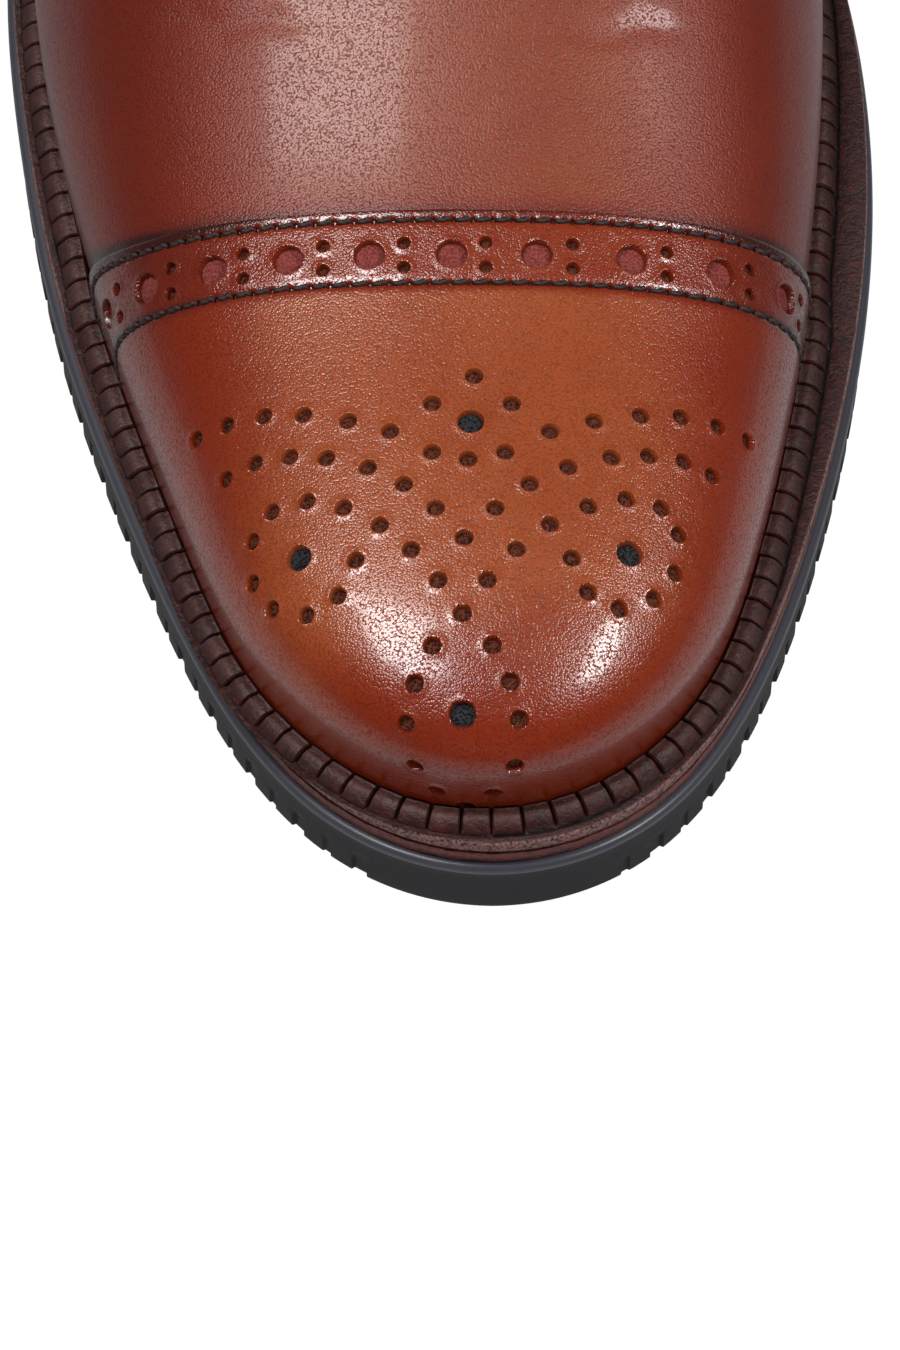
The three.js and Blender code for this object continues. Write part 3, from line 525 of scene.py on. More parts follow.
class Stuff:
    """A procedural material around one Principled BSDF."""

    def __init__(self, name, **constants):
        self.material = bpy.data.materials.new(name)
        self.material.use_nodes = True
        self.tree = self.material.node_tree
        self.shader = self.tree.nodes["Principled BSDF"]
        for place, value in constants.items():
            self.shader.inputs[place.replace("_", " ")].default_value = value

    def node(self, kind, values=(), out=0, **settings):
        made = self.tree.nodes.new(kind)
        for key, value in settings.items():
            setattr(made, key, value)
        pairs = values.items() if isinstance(values, dict) else enumerate(values)
        for place, value in pairs:
            self.join(made.inputs[place], value)
        return Wire(self, made.outputs[out])

    def join(self, target, value):
        if isinstance(value, Wire):
            self.tree.links.new(value.socket, target)
        else:
            target.default_value = value

    def mix(self, share, first, second):
        """A colour between two others."""
        made = self.tree.nodes.new("ShaderNodeMix")
        made.data_type = "RGBA"
        inputs = {socket.identifier: socket for socket in made.inputs}
        self.join(inputs["Factor_Float"], share)
        self.join(inputs["A_Color"], first)
        self.join(inputs["B_Color"], second)
        result = [socket for socket in made.outputs if socket.identifier == "Result_Color"][0]
        return Wire(self, result)

    def mark(self, name):
        """A value that the mesh carries at each of its points."""
        return self.node("ShaderNodeAttribute", out=2, attribute_name=name)

    def place(self):
        """Where a point lies in the piece's own frame."""
        return self.node("ShaderNodeTexCoord", out=3)

    def noise(self, per_mm, detail=2.0, rough=0.5, distortion=0.0):
        return self.node(
            "ShaderNodeTexNoise",
            {"Vector": self.place(), "Scale": per_mm / MM, "Detail": detail,
             "Roughness": rough, "Distortion": distortion},
        )

    def cells(self, per_mm, feature="F1"):
        return self.node(
            "ShaderNodeTexVoronoi", {"Vector": self.place(), "Scale": per_mm / MM}, feature=feature,
        )

    def bump(self, height, depth_mm, strength):
        values = {"Height": height, "Distance": depth_mm * MM, "Strength": strength}
        return self.node("ShaderNodeBump", values)

    def finish(self, **sockets):
        for place, value in sockets.items():
            self.join(self.shader.inputs[place.replace("_", " ")], value)
        return self.material


def srgb(red, green, blue):
    """A colour given on the 0 to 255 scale of a screen."""
    parts = [v / 255 for v in (red, green, blue)]
    return tuple(v / 12.92 if v <= 0.04045 else ((v + 0.055) / 1.055) ** 2.4 for v in parts) + (1,)


def calf(name, tan, red, deep, burnt, gloss=1.0):
    """Polished calf: hand-burnished from tan through red-brown to near black, with a fine grain."""
    stuff = Stuff(
        name, IOR=1.5, Coat_IOR=1.6, Coat_Roughness=0.14, Specular_IOR_Level=0.28 + 0.14 * gloss,
    )
    mottled = stuff.noise(0.045, 4.0, 0.55, distortion=0.6)
    fine = stuff.noise(0.5, 3.0, 0.6)
    burnish = (stuff.mark("burnish") + (mottled - 0.5) * 0.36 + (fine - 0.5) * 0.1).clamped()
    colour = stuff.mix(burnish.step(0.0, 0.42), tan, red)
    colour = stuff.mix(burnish.step(0.38, 0.78), colour, deep)
    colour = stuff.mix(burnish.step(0.74, 1.0), colour, burnt)
    wander = stuff.noise(1.8, 1.0)
    centre = stuff.cells(3.5)
    pit = (centre + (wander - 0.5) * 0.12).step(0.49, 0.64)
    colour = stuff.mix(pit * 0.3, colour, burnt)
    # The raw mark darkens raw cut leather, and inside holes it grows with depth as painted shade.
    raw_edge_and_hole_shade = stuff.mark("raw_edge_and_hole_shade").step(0.2, 0.8)
    colour = stuff.mix(raw_edge_and_hole_shade, colour, burnt)
    dome = wander * 0.5 - centre * centre
    return stuff.finish(
        Base_Color=colour, Roughness=0.44 - 0.2 * gloss + (fine - 0.5) * 0.06 + raw_edge_and_hole_shade * 0.3,
        Coat_Weight=(1 - pit) * (1 - raw_edge_and_hole_shade) * 0.45 * gloss,
        Normal=stuff.bump(dome, 0.042, 1.0),
    )


cap_calf = calf("cap_calf", srgb(146, 70, 35), srgb(118, 36, 11), srgb(96, 27, 12), srgb(48, 16, 12))


def backing(name, light, dark):
    """Rough flesh side of leather, or mesh, seen at the bottom of a hole; a small hole's dark floor is
    painted shade.
    """
    stuff = Stuff(name, Roughness=0.9, Specular_IOR_Level=0.15)
    flecks = stuff.noise(3.4, 3.0, 0.6)
    return stuff.finish(
        Base_Color=stuff.mix(flecks.step(0.42, 0.6), light, dark), Normal=stuff.bump(flecks, 0.12, 1.0),
    )


# Painted shade: the small holes' floors are dark brown to near black, for the shade inside them.
shaded_small_floor = backing("small_hole_shaded_floor", srgb(96, 46, 30), srgb(34, 15, 12))
strip_floor = backing("strip_hole_floor", srgb(128, 62, 58), srgb(98, 38, 34))
mesh_floor = backing("mesh_hole_floor", srgb(46, 46, 50), srgb(8, 8, 9))

STRIP_MIDDLE_X = 2.1
STRIP_BIG = (-57.2, -47.6, -38.5, -29, -19.4, -9.7, 0, 10, 21.3, 32.7, 43.3, 53.4)
STRIP_PAIRS = (-52.6, -43.9, -34.7, -25, -15.2, -5.6, 4, 14.2, 25.6, 36.8, 46.9, 57)
STRIP_BIG_BACK = 5.85
STRIP_PAIR_BACKS = (4.4, 7.55)
MEDALLION_AXIS = ((-99.4, 1), (-105.6, 1.5), (-110.7, 1), (-121.1, 1), (-130.7, 1), (-142.3, 1.5))
MEDALLION_PAIRS = (
    (4.6, -103.1), (9.2, -106.7), (14.2, -104.9), (19.5, -103.4), (24.2, -102.6), (28.6, -102.5),
    (32.2, -102.7), (4.2, -109.7), (11.5, -111.4), (16.4, -109.6), (20.7, -108.7), (24.8, -108.5),
    (28.2, -109.3), (7.2, -113.9), (3.4, -117.2), (18.3, -114.9), (14.0, -116.4), (22.4, -115.3),
    (9.7, -119.1), (24.5, -118.2), (6.0, -122.5), (12.3, -123.3), (2.8, -126.5), (24.2, -123.1),
    (21.8, -126.9), (14.2, -127.4), (17.8, -128.9), (3.4, -134.5), (5.4, -138.7), (6.4, -142.7),
)
MEDALLION_BIG_PAIR = (18.9, -121.9)
TIP_HOLES = ((-2.05, 32.9), (9.2, 34.4), (0.4, 28.4), (6.8, 29.0), (3.7, 25.4))


def medallion_axis(y):
    """The sideways place of the medallion's middle line, which leans a little behind the tip."""
    return 3.3 + 1.4 * np.clip((y + 131) / 31.6, 0, 1) ** 1.6


def on_top(x, y):
    """The last's surface above a point of the plan."""
    low, high = 12.0, 110.0
    for _ in range(40):
        level = (low + high) / 2
        above = depth_field(np.array([[x, y, level]]))[0] > 0 and level > 24
        low, high = (low, level) if above else (level, high)
    return np.array((x, y, low))


def on_tip(x, z):
    """The last's surface in front of a point of the front view."""
    return hit_last(np.array((x, -110.0, z)), np.array([(0.0, -1.0, 0.0)]))[0]


toe_chart = DirectionChart((6, -97, 24), (1, 0, 0), (0, 1, 0))
cap_holes = []
for back, places, radius, corners in (
    (STRIP_BIG_BACK, STRIP_BIG, STRIP_RADIUS, 28),
    (STRIP_PAIR_BACKS[0], STRIP_PAIRS, PAIR_RADIUS, 18),
    (STRIP_PAIR_BACKS[1], STRIP_PAIRS, PAIR_RADIUS, 18),
):
    line = across_cap(back, 0.1, 1.0)
    run = lengths_along(line)
    run -= np.interp(STRIP_MIDDLE_X, line[:, 0], run)
    for place in places:
        if run[0] + 3 < place < run[-1] - 3:
            cap_holes.append((spots_at(place, run, line), radius, SMALL_HOLE, corners))
for y, radius in MEDALLION_AXIS:
    cap_holes.append((on_top(medallion_axis(y), y), radius, SMALL_HOLE, 20))
for half, y in MEDALLION_PAIRS + (MEDALLION_BIG_PAIR,):
    for side in (-1, 1):
        radius = MESH_RADIUS if (half, y) == MEDALLION_BIG_PAIR else HOLE_RADIUS
        cap_holes.append((on_top(medallion_axis(y) + side * half, y), radius, SMALL_HOLE, 20))
for x, z in TIP_HOLES:
    cap_holes.append((on_tip(x, z), HOLE_RADIUS, SMALL_HOLE, 20))

STITCH_PITCH = 2.35
STITCH_ROWS = (1.45, 9.6)
STRIP_END = 9.9
GROOVE = 0.16
stitch_lines = [across_cap(back, STITCH_PITCH) for back in STITCH_ROWS]
for line in stitch_lines:
    for spot in line[1:-1]:
        cap_holes.append((spot, NEEDLE_RADIUS, NEEDLE_HOLE, 9))


def cap_height(points):
    """The cap's edge is rolled down, and its two rows of stitches lie in grooves."""
    back = cap_edge_y(points[:, 0]) - points[:, 1]
    edge = -0.3 * np.exp(-(np.maximum(back, 0) / 0.14) ** 2)
    return edge - sum(GROOVE * np.exp(-((back - row) / 0.4) ** 2) for row in STITCH_ROWS)


def cap_marks(points, level, size):
    """How burnished and how raw the cap is at each point; inside the holes it also darkens with depth as
    painted shade.
    """
    back = cap_edge_y(points[:, 0]) - points[:, 1]
    off = (points[:, 0] - CAP_MIDDLE_X) / 42
    side = np.clip((np.abs(off) - 0.42) / 0.5, 0, 1) ** 1.3
    tip = np.clip((-127 - points[:, 1]) / 17, 0, 1)
    low = np.clip((30 - points[:, 2]) / 16, 0, 1)
    from_edge = np.maximum(back, 0)
    strip = 0.55 * np.exp(-(from_edge / 1.1) ** 2) + 0.22 * (back < STRIP_END)
    strip += 0.3 * np.exp(-((back - STRIP_END) / 0.8) ** 2)
    # Painted shade: the hole walls and floors darken with depth, over their raw cut leather.
    hole_depth_shade = np.clip(level * 1.3 - 0.6, 0, 0.62)
    return {
        "burnish": np.clip(0.12 + 0.5 * side + 0.34 * tip + 0.12 * low + strip, 0, 1.1),
        "raw_edge_and_hole_shade": np.maximum(hole_depth_shade, 0.62 * np.exp(-(from_edge / 0.24) ** 2)),
    }


def azimuth_of(point, heart):
    """The direction of a point from the heart of a chart, in plan, in degrees."""
    return math.degrees(math.atan2(point[1] - heart[1], point[0] - heart[0]))


edge_line = across_cap(0.0, 0.6)
foot_line = feather_line(
    toe_chart.heart, azimuth_of(edge_line[-1], toe_chart.heart),
    azimuth_of(edge_line[0], toe_chart.heart) - 360, 0.8,
)
in_step = len(edge_line)
near_edge = (0.06, 0.2, 0.42, 0.75, 1.1, 1.45, 1.8, 2.2)
cap_lines = [across_cap(back, 0.6, 0.12 * back, in_step)[1:-1] for back in near_edge]
cap_lines += [across_cap(back, 0.6, 0.5) for back in (9.0, 9.3, 9.6, 9.9, 10.3)]
toe_cap = panel(
    "toe_cap_leather", toe_chart, np.vstack([edge_line, foot_line[1:-1]]), cap_lines, cap_holes,
    0.8, cap_height, cap_marks, 1.3, -0.9,
)
for finish in (cap_calf, shaded_small_floor, strip_floor, mesh_floor):
    toe_cap.data.materials.append(finish)
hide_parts("upper")

# Stitches of the cap
# Two rows of waxed dark thread, sewn by machine a little slanted, each stitch drawn down into its
# needle holes.
THREAD = 0.34
THREAD_LIFT = 0.02
THREAD_DIVE = 0.42
THREAD_TWIST = 5.2
STITCH_SHARE = 0.84
STITCH_SLANT = 0.16


def stitches(name, lines, lift):
    """Rows of two-ply thread stitches along lines on the last, from needle hole to needle hole."""
    sides, along = 10, 11
    points, faces, ply = [], [], []
    for line in lines:
        for start, end in zip(line[:-1], line[1:]):
            base = len(points)
            normal = last_normals(((start + end) / 2)[None])[0]
            way = (end - start) / np.linalg.norm(end - start)
            beside = np.cross(normal, way)
            length = np.linalg.norm(end - start) * STITCH_SHARE
            middle = (start + end) / 2
            for i in range(along + 1):
                t = i / along
                run = (t - 0.5) * length
                arch = 1 - abs(2 * t - 1) ** 5
                centre = middle + way * run + beside * STITCH_SLANT * (2 * t - 1) * arch
                centre = centre + normal * (lift + THREAD_LIFT - THREAD_DIVE * (1 - arch))
                thick = THREAD * (0.72 + 0.28 * arch)
                for k in range(sides):
                    turn = 2 * math.pi * k / sides
                    strand = math.cos(2 * (turn - THREAD_TWIST * t))
                    swell = 1 + 0.13 * strand
                    spoke = beside * math.cos(turn) + normal * math.sin(turn) * 0.86
                    points.append(centre + spoke * thick * swell)
                    # The ply mark is low in the furrows between the plies, where the thread's colour
                    # paints shade.
                    ply.append(0.5 + 0.5 * strand)
            for i in range(along):
                for k in range(sides):
                    a, b = base + i * sides + k, base + i * sides + (k + 1) % sides
                    faces.append((a, b, b + sides, a + sides))
            faces.append(tuple(base + k for k in range(sides))[::-1])
            faces.append(tuple(base + along * sides + k for k in range(sides)))
    piece = mesh_object(name, points, faces, {"ply": ply})
    return smooth(piece, 60)


def waxed_thread(name, colour):
    """Two twisted plies of waxed thread, with painted shade in the furrows between them."""
    stuff = Stuff(name, Roughness=0.6, Specular_IOR_Level=0.35)
    ply = stuff.mark("ply")
    fibre = stuff.noise(4.0, 2.0)
    dark = tuple(v * 0.35 for v in colour[:3]) + (1,)
    return stuff.finish(
        # Painted shade: the colour darkens towards the furrows between the plies.
        Base_Color=stuff.mix((ply * 0.7 + fibre * 0.4).step(0.1, 0.9), dark, colour),
        Normal=stuff.bump(fibre, 0.03, 0.5),
    )


dark_thread = waxed_thread("dark_waxed_thread", srgb(48, 32, 30))
cap_stitches = stitches("cap_stitches", stitch_lines, -GROOVE + 0.1)
cap_stitches.data.materials.append(dark_thread)

# Vamp
# The same calf over the forefoot. It runs in under the cap, and its rear edge is sewn over the
# quarters.
VAMP_DROP = 0.9
QUARTER_DROP = 1.7
INSIDE_DROP = 3.7


def along_sole(share):
    return SOLE_FRONT + SOLE_LENGTH * share


VAMP_EDGE = np.array((
    # share of the sole's length, height over the welt as a share of the instep's
    (0.36, 1.2), (0.362, 0.9), (0.37, 0.66), (0.395, 0.48),
    (0.45, 0.34), (0.52, 0.18), (0.585, 0.0), (0.61, -0.12),
))
read_vamp_edge = spline(-VAMP_EDGE[:, 1], VAMP_EDGE[:, :1])


def side_points(y, z, side):
    """Points of the last at y and z on one side, +1 for the inner, and whether each is real."""
    row = last_rows(y)
    rise = z - row["z"]
    wide, tall, curve = section_part(row, side > 0, rise >= 0)
    left = 1 - (np.abs(rise) / tall) ** curve
    across = wide * np.maximum(left, 0) ** (1 / curve)
    return np.column_stack([row["x"] + side * across, y, z]), left > 0


def vamp_edge(shift, pitch):
    """The vamp's rear edge from the outer welt over the ridge to the inner welt."""
    share = np.linspace(-1.0, 0.03, 600)
    y = along_sole(read_vamp_edge(share)[:, 0]) + shift
    z = np.maximum(welt_height(y) - share * INSTEP_HEIGHT, feather_height(y))
    halves = []
    for side in (-1, 1):
        points, real = side_points(y, z, side)
        points = points[real]
        low = np.nonzero(points[:, 2] <= feather_height(points[:, 1]) + 1e-6)[0]
        halves.append(points[:low[0] + 1] if len(low) else points)
    return evenly(np.vstack([halves[0][::-1], halves[1]]), pitch)


vamp_chart = DirectionChart((5, -50, 25), (1, 0, 0), (0, 1, 0))
vamp_front = across_cap(13.0, 0.9)
vamp_back = vamp_edge(0.0, 0.8)
heart = vamp_chart.heart
inner_foot = feather_line(
    heart, azimuth_of(vamp_back[-1], heart), azimuth_of(vamp_front[-1], heart), 0.9,
)
outer_foot = feather_line(
    heart, azimuth_of(vamp_front[0], heart) + 360, azimuth_of(vamp_back[0], heart), 0.9,
)
vamp_outline = np.vstack([vamp_back, inner_foot[1:-1], vamp_front[::-1], outer_foot[1:-1]])
CREASES = (
    # soft creases where the foot bends, from x, y to x, y, with width and depth
    (-40, -33, -6, -40, 3.2, 0.32), (-36, -47, -12, -52, 2.6, 0.22), (-42, -20, -14, -26, 3.4, 0.3),
    (12, -42, 44, -30, 3.0, 0.28), (8, -55, 34, -50, 2.4, 0.16), (20, -27, 46, -17, 3.4, 0.3),
)


def vamp_height(points):
    """The vamp dips a little under the cap, and each crease is a trough with a ridge beside it."""
    under_cap = np.clip((cap_edge_y(points[:, 0]) - points[:, 1] + 0.3) / 0.6, 0, 1)
    height = -VAMP_DROP - 0.02 * under_cap
    for x0, y0, x1, y1, width, depth in CREASES:
        way = np.array((x1 - x0, y1 - y0))
        long = np.linalg.norm(way)
        along = (points[:, :2] - (x0, y0)) @ way / long ** 2
        bow = 1.6 * np.sin(math.pi * np.clip(along, 0, 1)) + 0.5 * np.sin(along * 17)
        off = (points[:, :2] - (x0, y0)) @ np.array((-way[1], way[0])) / long + bow
        fade = np.exp(-((along - 0.5) / 0.36) ** 4)
        ridge = 0.45 * np.exp(-((off - width) / width) ** 2)
        trough = np.exp(-(off / width * 1.6) ** 2)
        height = height + fade * depth * (ridge - trough)
    return height


def vamp_marks(points, level, size):
    """The vamp is burnished darker along the cap, down its sides and at the welt.

    The darkening along the cap is also a painted shadow of the cap's edge.
    """
    behind = points[:, 1] - cap_edge_y(points[:, 0])
    off = (points[:, 0] - 3) / 45
    side = np.clip((np.abs(off) - 0.38) / 0.5, 0, 1) ** 1.2
    low = np.clip((30 - points[:, 2]) / 16, 0, 1)
    # Partly painted shadow: the vamp is darkened just behind the cap's edge.
    strip = 0.42 * np.exp(-(np.maximum(behind, 0) / 1.4) ** 2)
    return {
        "burnish": np.clip(0.2 + 0.5 * side + 0.22 * low + strip, 0, 1.1),
        "raw_edge_and_hole_shade": np.zeros(len(points)),
    }


vamp = panel(
    "vamp_leather", vamp_chart, vamp_outline, [], [], 1.3, vamp_height, vamp_marks, QUARTER_DROP,
    -VAMP_DROP - 0.35,
)
vamp_calf = calf(
    "vamp_calf", srgb(128, 57, 24), srgb(112, 33, 10), srgb(92, 25, 11), srgb(46, 15, 12), 0.34,
)
vamp.data.materials.append(vamp_calf)
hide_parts("upper")

# Welt
# A storm welt of stiff dark leather: its raised ridge is pressed into pillows against the upper,
# and its trimmed edge is sanded and inked. Its colours also paint light: a painted highlight on
# the crowns and the sanded edge, and painted shade in the cuts and grooves.
WELT_INSET = 0.7
PILLOW_PITCH = 3.3
SOLE_HALF_WIDTH = 54.6
SOLE_PLAN = np.array((
    # share of the length, reach to the outer and to the inner side as shares of the half width
    (0, -0.125, 0.125), (0.03, 0.253, 0.497), (0.09, 0.48, 0.703), (0.18, 0.687, 0.868),
    (0.27, 0.852, 0.97), (0.36, 0.953, 1), (0.45, 1, 0.945), (0.54, 0.96, 0.81), (0.63, 0.86, 0.69),
    (0.72, 0.76, 0.62), (0.81, 0.71, 0.63), (0.9, 0.665, 0.62), (0.97, 0.45, 0.41), (1, 0.02, -0.02),
))
read_sole = spline(eased(SOLE_PLAN[:, 0]), SOLE_PLAN[:, 1:])


def sole_loop(pitch, inset=0.0):
    """The sole's outline in plan, anticlockwise from the toe, moved in by an inset."""
    angle = np.linspace(0, math.pi, 2400)
    share = (1 - np.cos(angle)) / 2
    lateral, medial = read_sole(angle).T * SOLE_HALF_WIDTH
    inner = np.column_stack([medial, along_sole(share)])
    outer = np.column_stack([-lateral, along_sole(share)])
    loop = evenly(np.vstack([inner, outer[::-1][1:-1]]), pitch, closed=True)
    return loop - plan_normals(loop) * inset


def plan_normals(loop):
    """Outward normals of an anticlockwise loop in plan."""
    way = np.roll(loop, -1, axis=0)[:, :2] - np.roll(loop, 1, axis=0)[:, :2]
    way /= np.linalg.norm(way, axis=1, keepdims=True)
    return np.column_stack([way[:, 1], -way[:, 0]])


def foot_loop(pitch):
    """The upper's outline in plan at the welt's top, anticlockwise from the toe."""
    azimuth = np.linspace(-math.pi / 2, 1.5 * math.pi, 7000, endpoint=False)
    ways = np.stack([np.cos(azimuth), np.sin(azimuth)], axis=1)

    def spots(run):
        flat = ways * run[:, None]
        return np.column_stack([flat, welt_height(flat[:, 1])])

    return evenly(spots(reach_inside(len(ways), 170.0, spots))[:, :2], pitch, closed=True)


def gap_to_loop(points, ways, loop):
    """How far it is from points along ways to a closed loop in plan."""
    after = np.roll(loop, -1, axis=0)
    side = after - loop
    found = np.empty(len(points))
    for i, (point, way) in enumerate(zip(points, ways)):
        cross = way[0] * side[:, 1] - way[1] * side[:, 0]
        cross = np.where(np.abs(cross) < 1e-9, 1e-9, cross)
        off = loop - point
        run = (off[:, 0] * side[:, 1] - off[:, 1] * side[:, 0]) / cross
        share = (off[:, 0] * way[1] - off[:, 1] * way[0]) / cross
        real = (share >= 0) & (share <= 1) & (run > 0)
        found[i] = run[real].min() if real.any() else np.nan
    return np.interp(np.arange(len(found)), np.nonzero(~np.isnan(found))[0], found[~np.isnan(found)])


def ring_mesh(name, rows, marks=None):
    """A closed ring: rows of points round a loop, joined to the next row and the last to the first."""
    rows = np.asarray(rows)
    count, around = rows.shape[:2]
    faces = []
    for i in range(count):
        low, high = i * around, (i + 1) % count * around
        for k in range(around):
            after = (k + 1) % around
            faces.append((low + k, low + after, high + after, high + k))
    return mesh_object(name, rows.reshape(-1, 3), faces, marks)


PILLOW_STOPS = np.array((0.0, 0.035, 0.085, 0.16, 0.28, 0.42, 0.58, 0.72, 0.84, 0.915, 0.965))
PILLOW_CUT = 0.034
WELT_PROFILE = np.array((
    # out from the upper, height over the welt, share of the pillow, crown (lighter: wear and painted
    # highlight), groove (black: painted shade)
    (-1.0, -0.6, 0, 0, 1),
    (0.06, 0.6, 0.2, 0.2, 0.6),
    (0.16, 1.35, 0.7, 0.6, 0),
    (0.4, 1.62, 1, 1, 0),
    (0.72, 1.52, 1, 0.5, 0),
    (1.1, 1.62, 1, 0.9, 0),
    (1.6, 1.6, 1, 1, 0),
    (2.05, 1.34, 1, 0.75, 0),
    (2.5, 0.95, 1, 0.35, 0),
    (2.95, 0.5, 1, 0.15, 0),
    (3.25, 0.08, 0.7, 0, 0.5),
    (3.45, -0.22, 0.2, 0, 1),
    (3.65, -0.1, 0, 0, 0.6),
    (3.85, 0.02, 0, 0.1, 0),
))
EDGE_ROLL = (
    # in from the trimmed edge, height over the welt, share of the sanded side (paler: sanding and
    # painted highlight)
    (-0.9, 0.0, 0.0), (-0.45, -0.02, 0.2), (-0.2, -0.1, 0.7), (-0.06, -0.28, 1), (0, -0.6, 1),
    (0, -1.2, 1), (-0.04, -1.9, 1), (-0.2, -2.3, 1), (-0.6, -2.4, 1), (-9, -2.4, 0),
)
closed_loop = foot_loop(0.25)
closed_loop = np.vstack([closed_loop, closed_loop[:1]])
run = lengths_along(closed_loop)
pillows = round(run[-1] / PILLOW_PITCH)
stops = ((np.arange(pillows)[:, None] + PILLOW_STOPS[None]) / pillows * run[-1]).ravel()
foot = spots_at(stops, run, closed_loop)
outward = plan_normals(foot)
edge = sole_loop(1.0, WELT_INSET)
margin = gap_to_loop(foot, outward, edge)
phase = np.tile(PILLOW_STOPS, pillows)
chance = np.random.default_rng(4)
uneven = np.repeat(chance.uniform(-1, 1, pillows), len(PILLOW_STOPS))
cut = np.exp(-(np.minimum(phase, 1 - phase) / PILLOW_CUT) ** 2)
swell = np.sin(np.pi * phase) ** 0.5
face_back = np.clip((foot[:, 1] - cap_edge_y(foot[:, 0])) / 8, 0, 1) * VAMP_DROP
rows, crown_wear_and_highlight_mark, groove_shade_mark, sanded_edge_and_highlight_mark = [], [], [], []
for out, high, share, crown_wear_and_highlight, groove_shade in WELT_PROFILE:
    lean = out + 0.12 * uneven * share
    level = high + share * (0.2 * (swell - 1) + 0.1 * uneven - 0.95 * cut * min(1.0, high + 0.2))
    flat = foot + outward * (lean - face_back + 0.12)[:, None]
    rows.append(np.column_stack([flat, welt_height(flat[:, 1]) + level]))
    # Lighter crowns are rubbed wear and a painted highlight; black cuts and grooves are painted shade.
    crown_wear_and_highlight_mark.append(crown_wear_and_highlight * (1 - cut) * (0.75 + 0.25 * uneven))
    groove_shade_mark.append(np.maximum(np.full(len(foot), float(groove_shade)), cut * share))
    sanded_edge_and_highlight_mark.append(np.zeros(len(foot)))
for back, level, side in EDGE_ROLL:
    flat = foot + outward * (margin + back)[:, None]
    rows.append(np.column_stack([flat, welt_height(flat[:, 1]) + level]))
    crown_wear_and_highlight_mark.append(np.zeros(len(foot)))
    groove_shade_mark.append(np.zeros(len(foot)))
    sanded_edge_and_highlight_mark.append(np.full(len(foot), float(side)))
welt = ring_mesh("storm_welt", rows[::-1], {
    "crown_wear_and_highlight": np.concatenate(crown_wear_and_highlight_mark[::-1]), "groove_shade": np.concatenate(groove_shade_mark[::-1]),
    "side": np.concatenate(sanded_edge_and_highlight_mark[::-1]),
})
smooth(welt, 45)


def welt_leather(name):
    """Dark stained welting, rubbed on its crowns and sanded at its edge.

    The lighter crowns and the paler sanded edge are partly a painted highlight; the black cuts and
    grooves are painted shade.
    """
    stuff = Stuff(name, Specular_IOR_Level=0.4)
    crown_wear_and_highlight, groove_shade, side = stuff.mark("crown_wear_and_highlight"), stuff.mark("groove_shade"), stuff.mark("side")
    rub = stuff.noise(0.8, 4.0, 0.65, distortion=0.8)
    pits = stuff.noise(2.4, 3.0, 0.65)
    # Lighter crowns and the pale sanded edge are partly painted highlight; black grooves are painted
    # shade.
    colour = stuff.mix(crown_wear_and_highlight.step(0.05, 1.0), srgb(42, 15, 13), srgb(72, 43, 39))
    colour = stuff.mix(rub.step(0.46, 0.7) * 0.5, colour, srgb(78, 24, 16))
    colour = stuff.mix((1 - rub).step(0.5, 0.7) * 0.6, colour, srgb(30, 12, 12))
    colour = stuff.mix(groove_shade.step(0.25, 0.85), colour, srgb(12, 8, 9))
    colour = stuff.mix((side * (0.3 + pits)).step(0.45, 0.95) * 0.8, colour, srgb(150, 104, 98))
    colour = stuff.mix((side * (1 - pits)).step(0.48, 0.6), colour, srgb(22, 18, 22))
    return stuff.finish(
        Base_Color=colour, Roughness=0.34 + rub * 0.3,
        Normal=stuff.bump(pits * (0.5 + side) + rub * 1.2, 0.22, 0.9),
    )


welt.data.materials.append(welt_leather("welt_leather"))
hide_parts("welt")

# Midsole
# A thin layer of leather between welt and rubber, trimmed flush with the welt and inked a little
# redder.
MIDSOLE_PROFILE = (
    # in from the trimmed edge, height over the tread line
    (-9, 11.4), (-0.5, 11.4), (-0.12, 11.2), (0, 10.8), (0, 10.0), (-0.1, 9.6), (-0.5, 9.3), (-9, 9.3),
)
edge = sole_loop(0.8, WELT_INSET)
out = plan_normals(edge)
rows = []
for back, level in MIDSOLE_PROFILE:
    flat = edge + out * back
    rows.append(np.column_stack([flat, tread_height(flat[:, 1]) + level]))
midsole = ring_mesh("midsole_edge", rows[::-1])
smooth(midsole, 45)
stuff = Stuff("midsole_leather", Coat_Weight=0.1)
fibre = stuff.noise(1.6, 4.0, 0.65)
midsole_leather = stuff.finish(
    Base_Color=stuff.mix(fibre.step(0.3, 0.72), srgb(52, 18, 16), srgb(108, 46, 36)),
    Roughness=0.5, Normal=stuff.bump(fibre, 0.15, 0.7),
)
midsole.data.materials.append(midsole_leather)

# Rubber sole
# Black moulded rubber with a rounded upper lip that stands a little proud of the welt, and lugs
# notched round its lower edge.
LUG_DEPTH = 4.0
NOTCH_PITCH = 4.8
LUGS_START, LUGS_END = 0.012, 0.53
NOTCH_WIDTHS = (1.1, 2.0)
NOTCH_DEPTHS = (0.3, 0.45)
NOTCH_LIP = 0.09
closed_loop = sole_loop(0.4)
closed_loop = np.vstack([closed_loop, closed_loop[:1]])
run = lengths_along(closed_loop)
angle = np.linspace(eased(LUGS_START), eased(LUGS_END), 601)
lateral, medial = read_sole(angle).T * SOLE_HALF_WIDTH
spots = []
for across in (medial, -lateral):
    walked = np.column_stack([across, along_sole((1 - np.cos(angle)) / 2)])
    way = lengths_along(walked)
    for point in spots_at(np.arange(NOTCH_PITCH / 2, way[-1], NOTCH_PITCH), way, walked):
        nearest = np.linalg.norm(closed_loop[:-1] - point, axis=1).argmin()
        spots.append((run[nearest], NOTCH_WIDTHS[len(spots) % 2], NOTCH_DEPTHS[len(spots) % 2]))
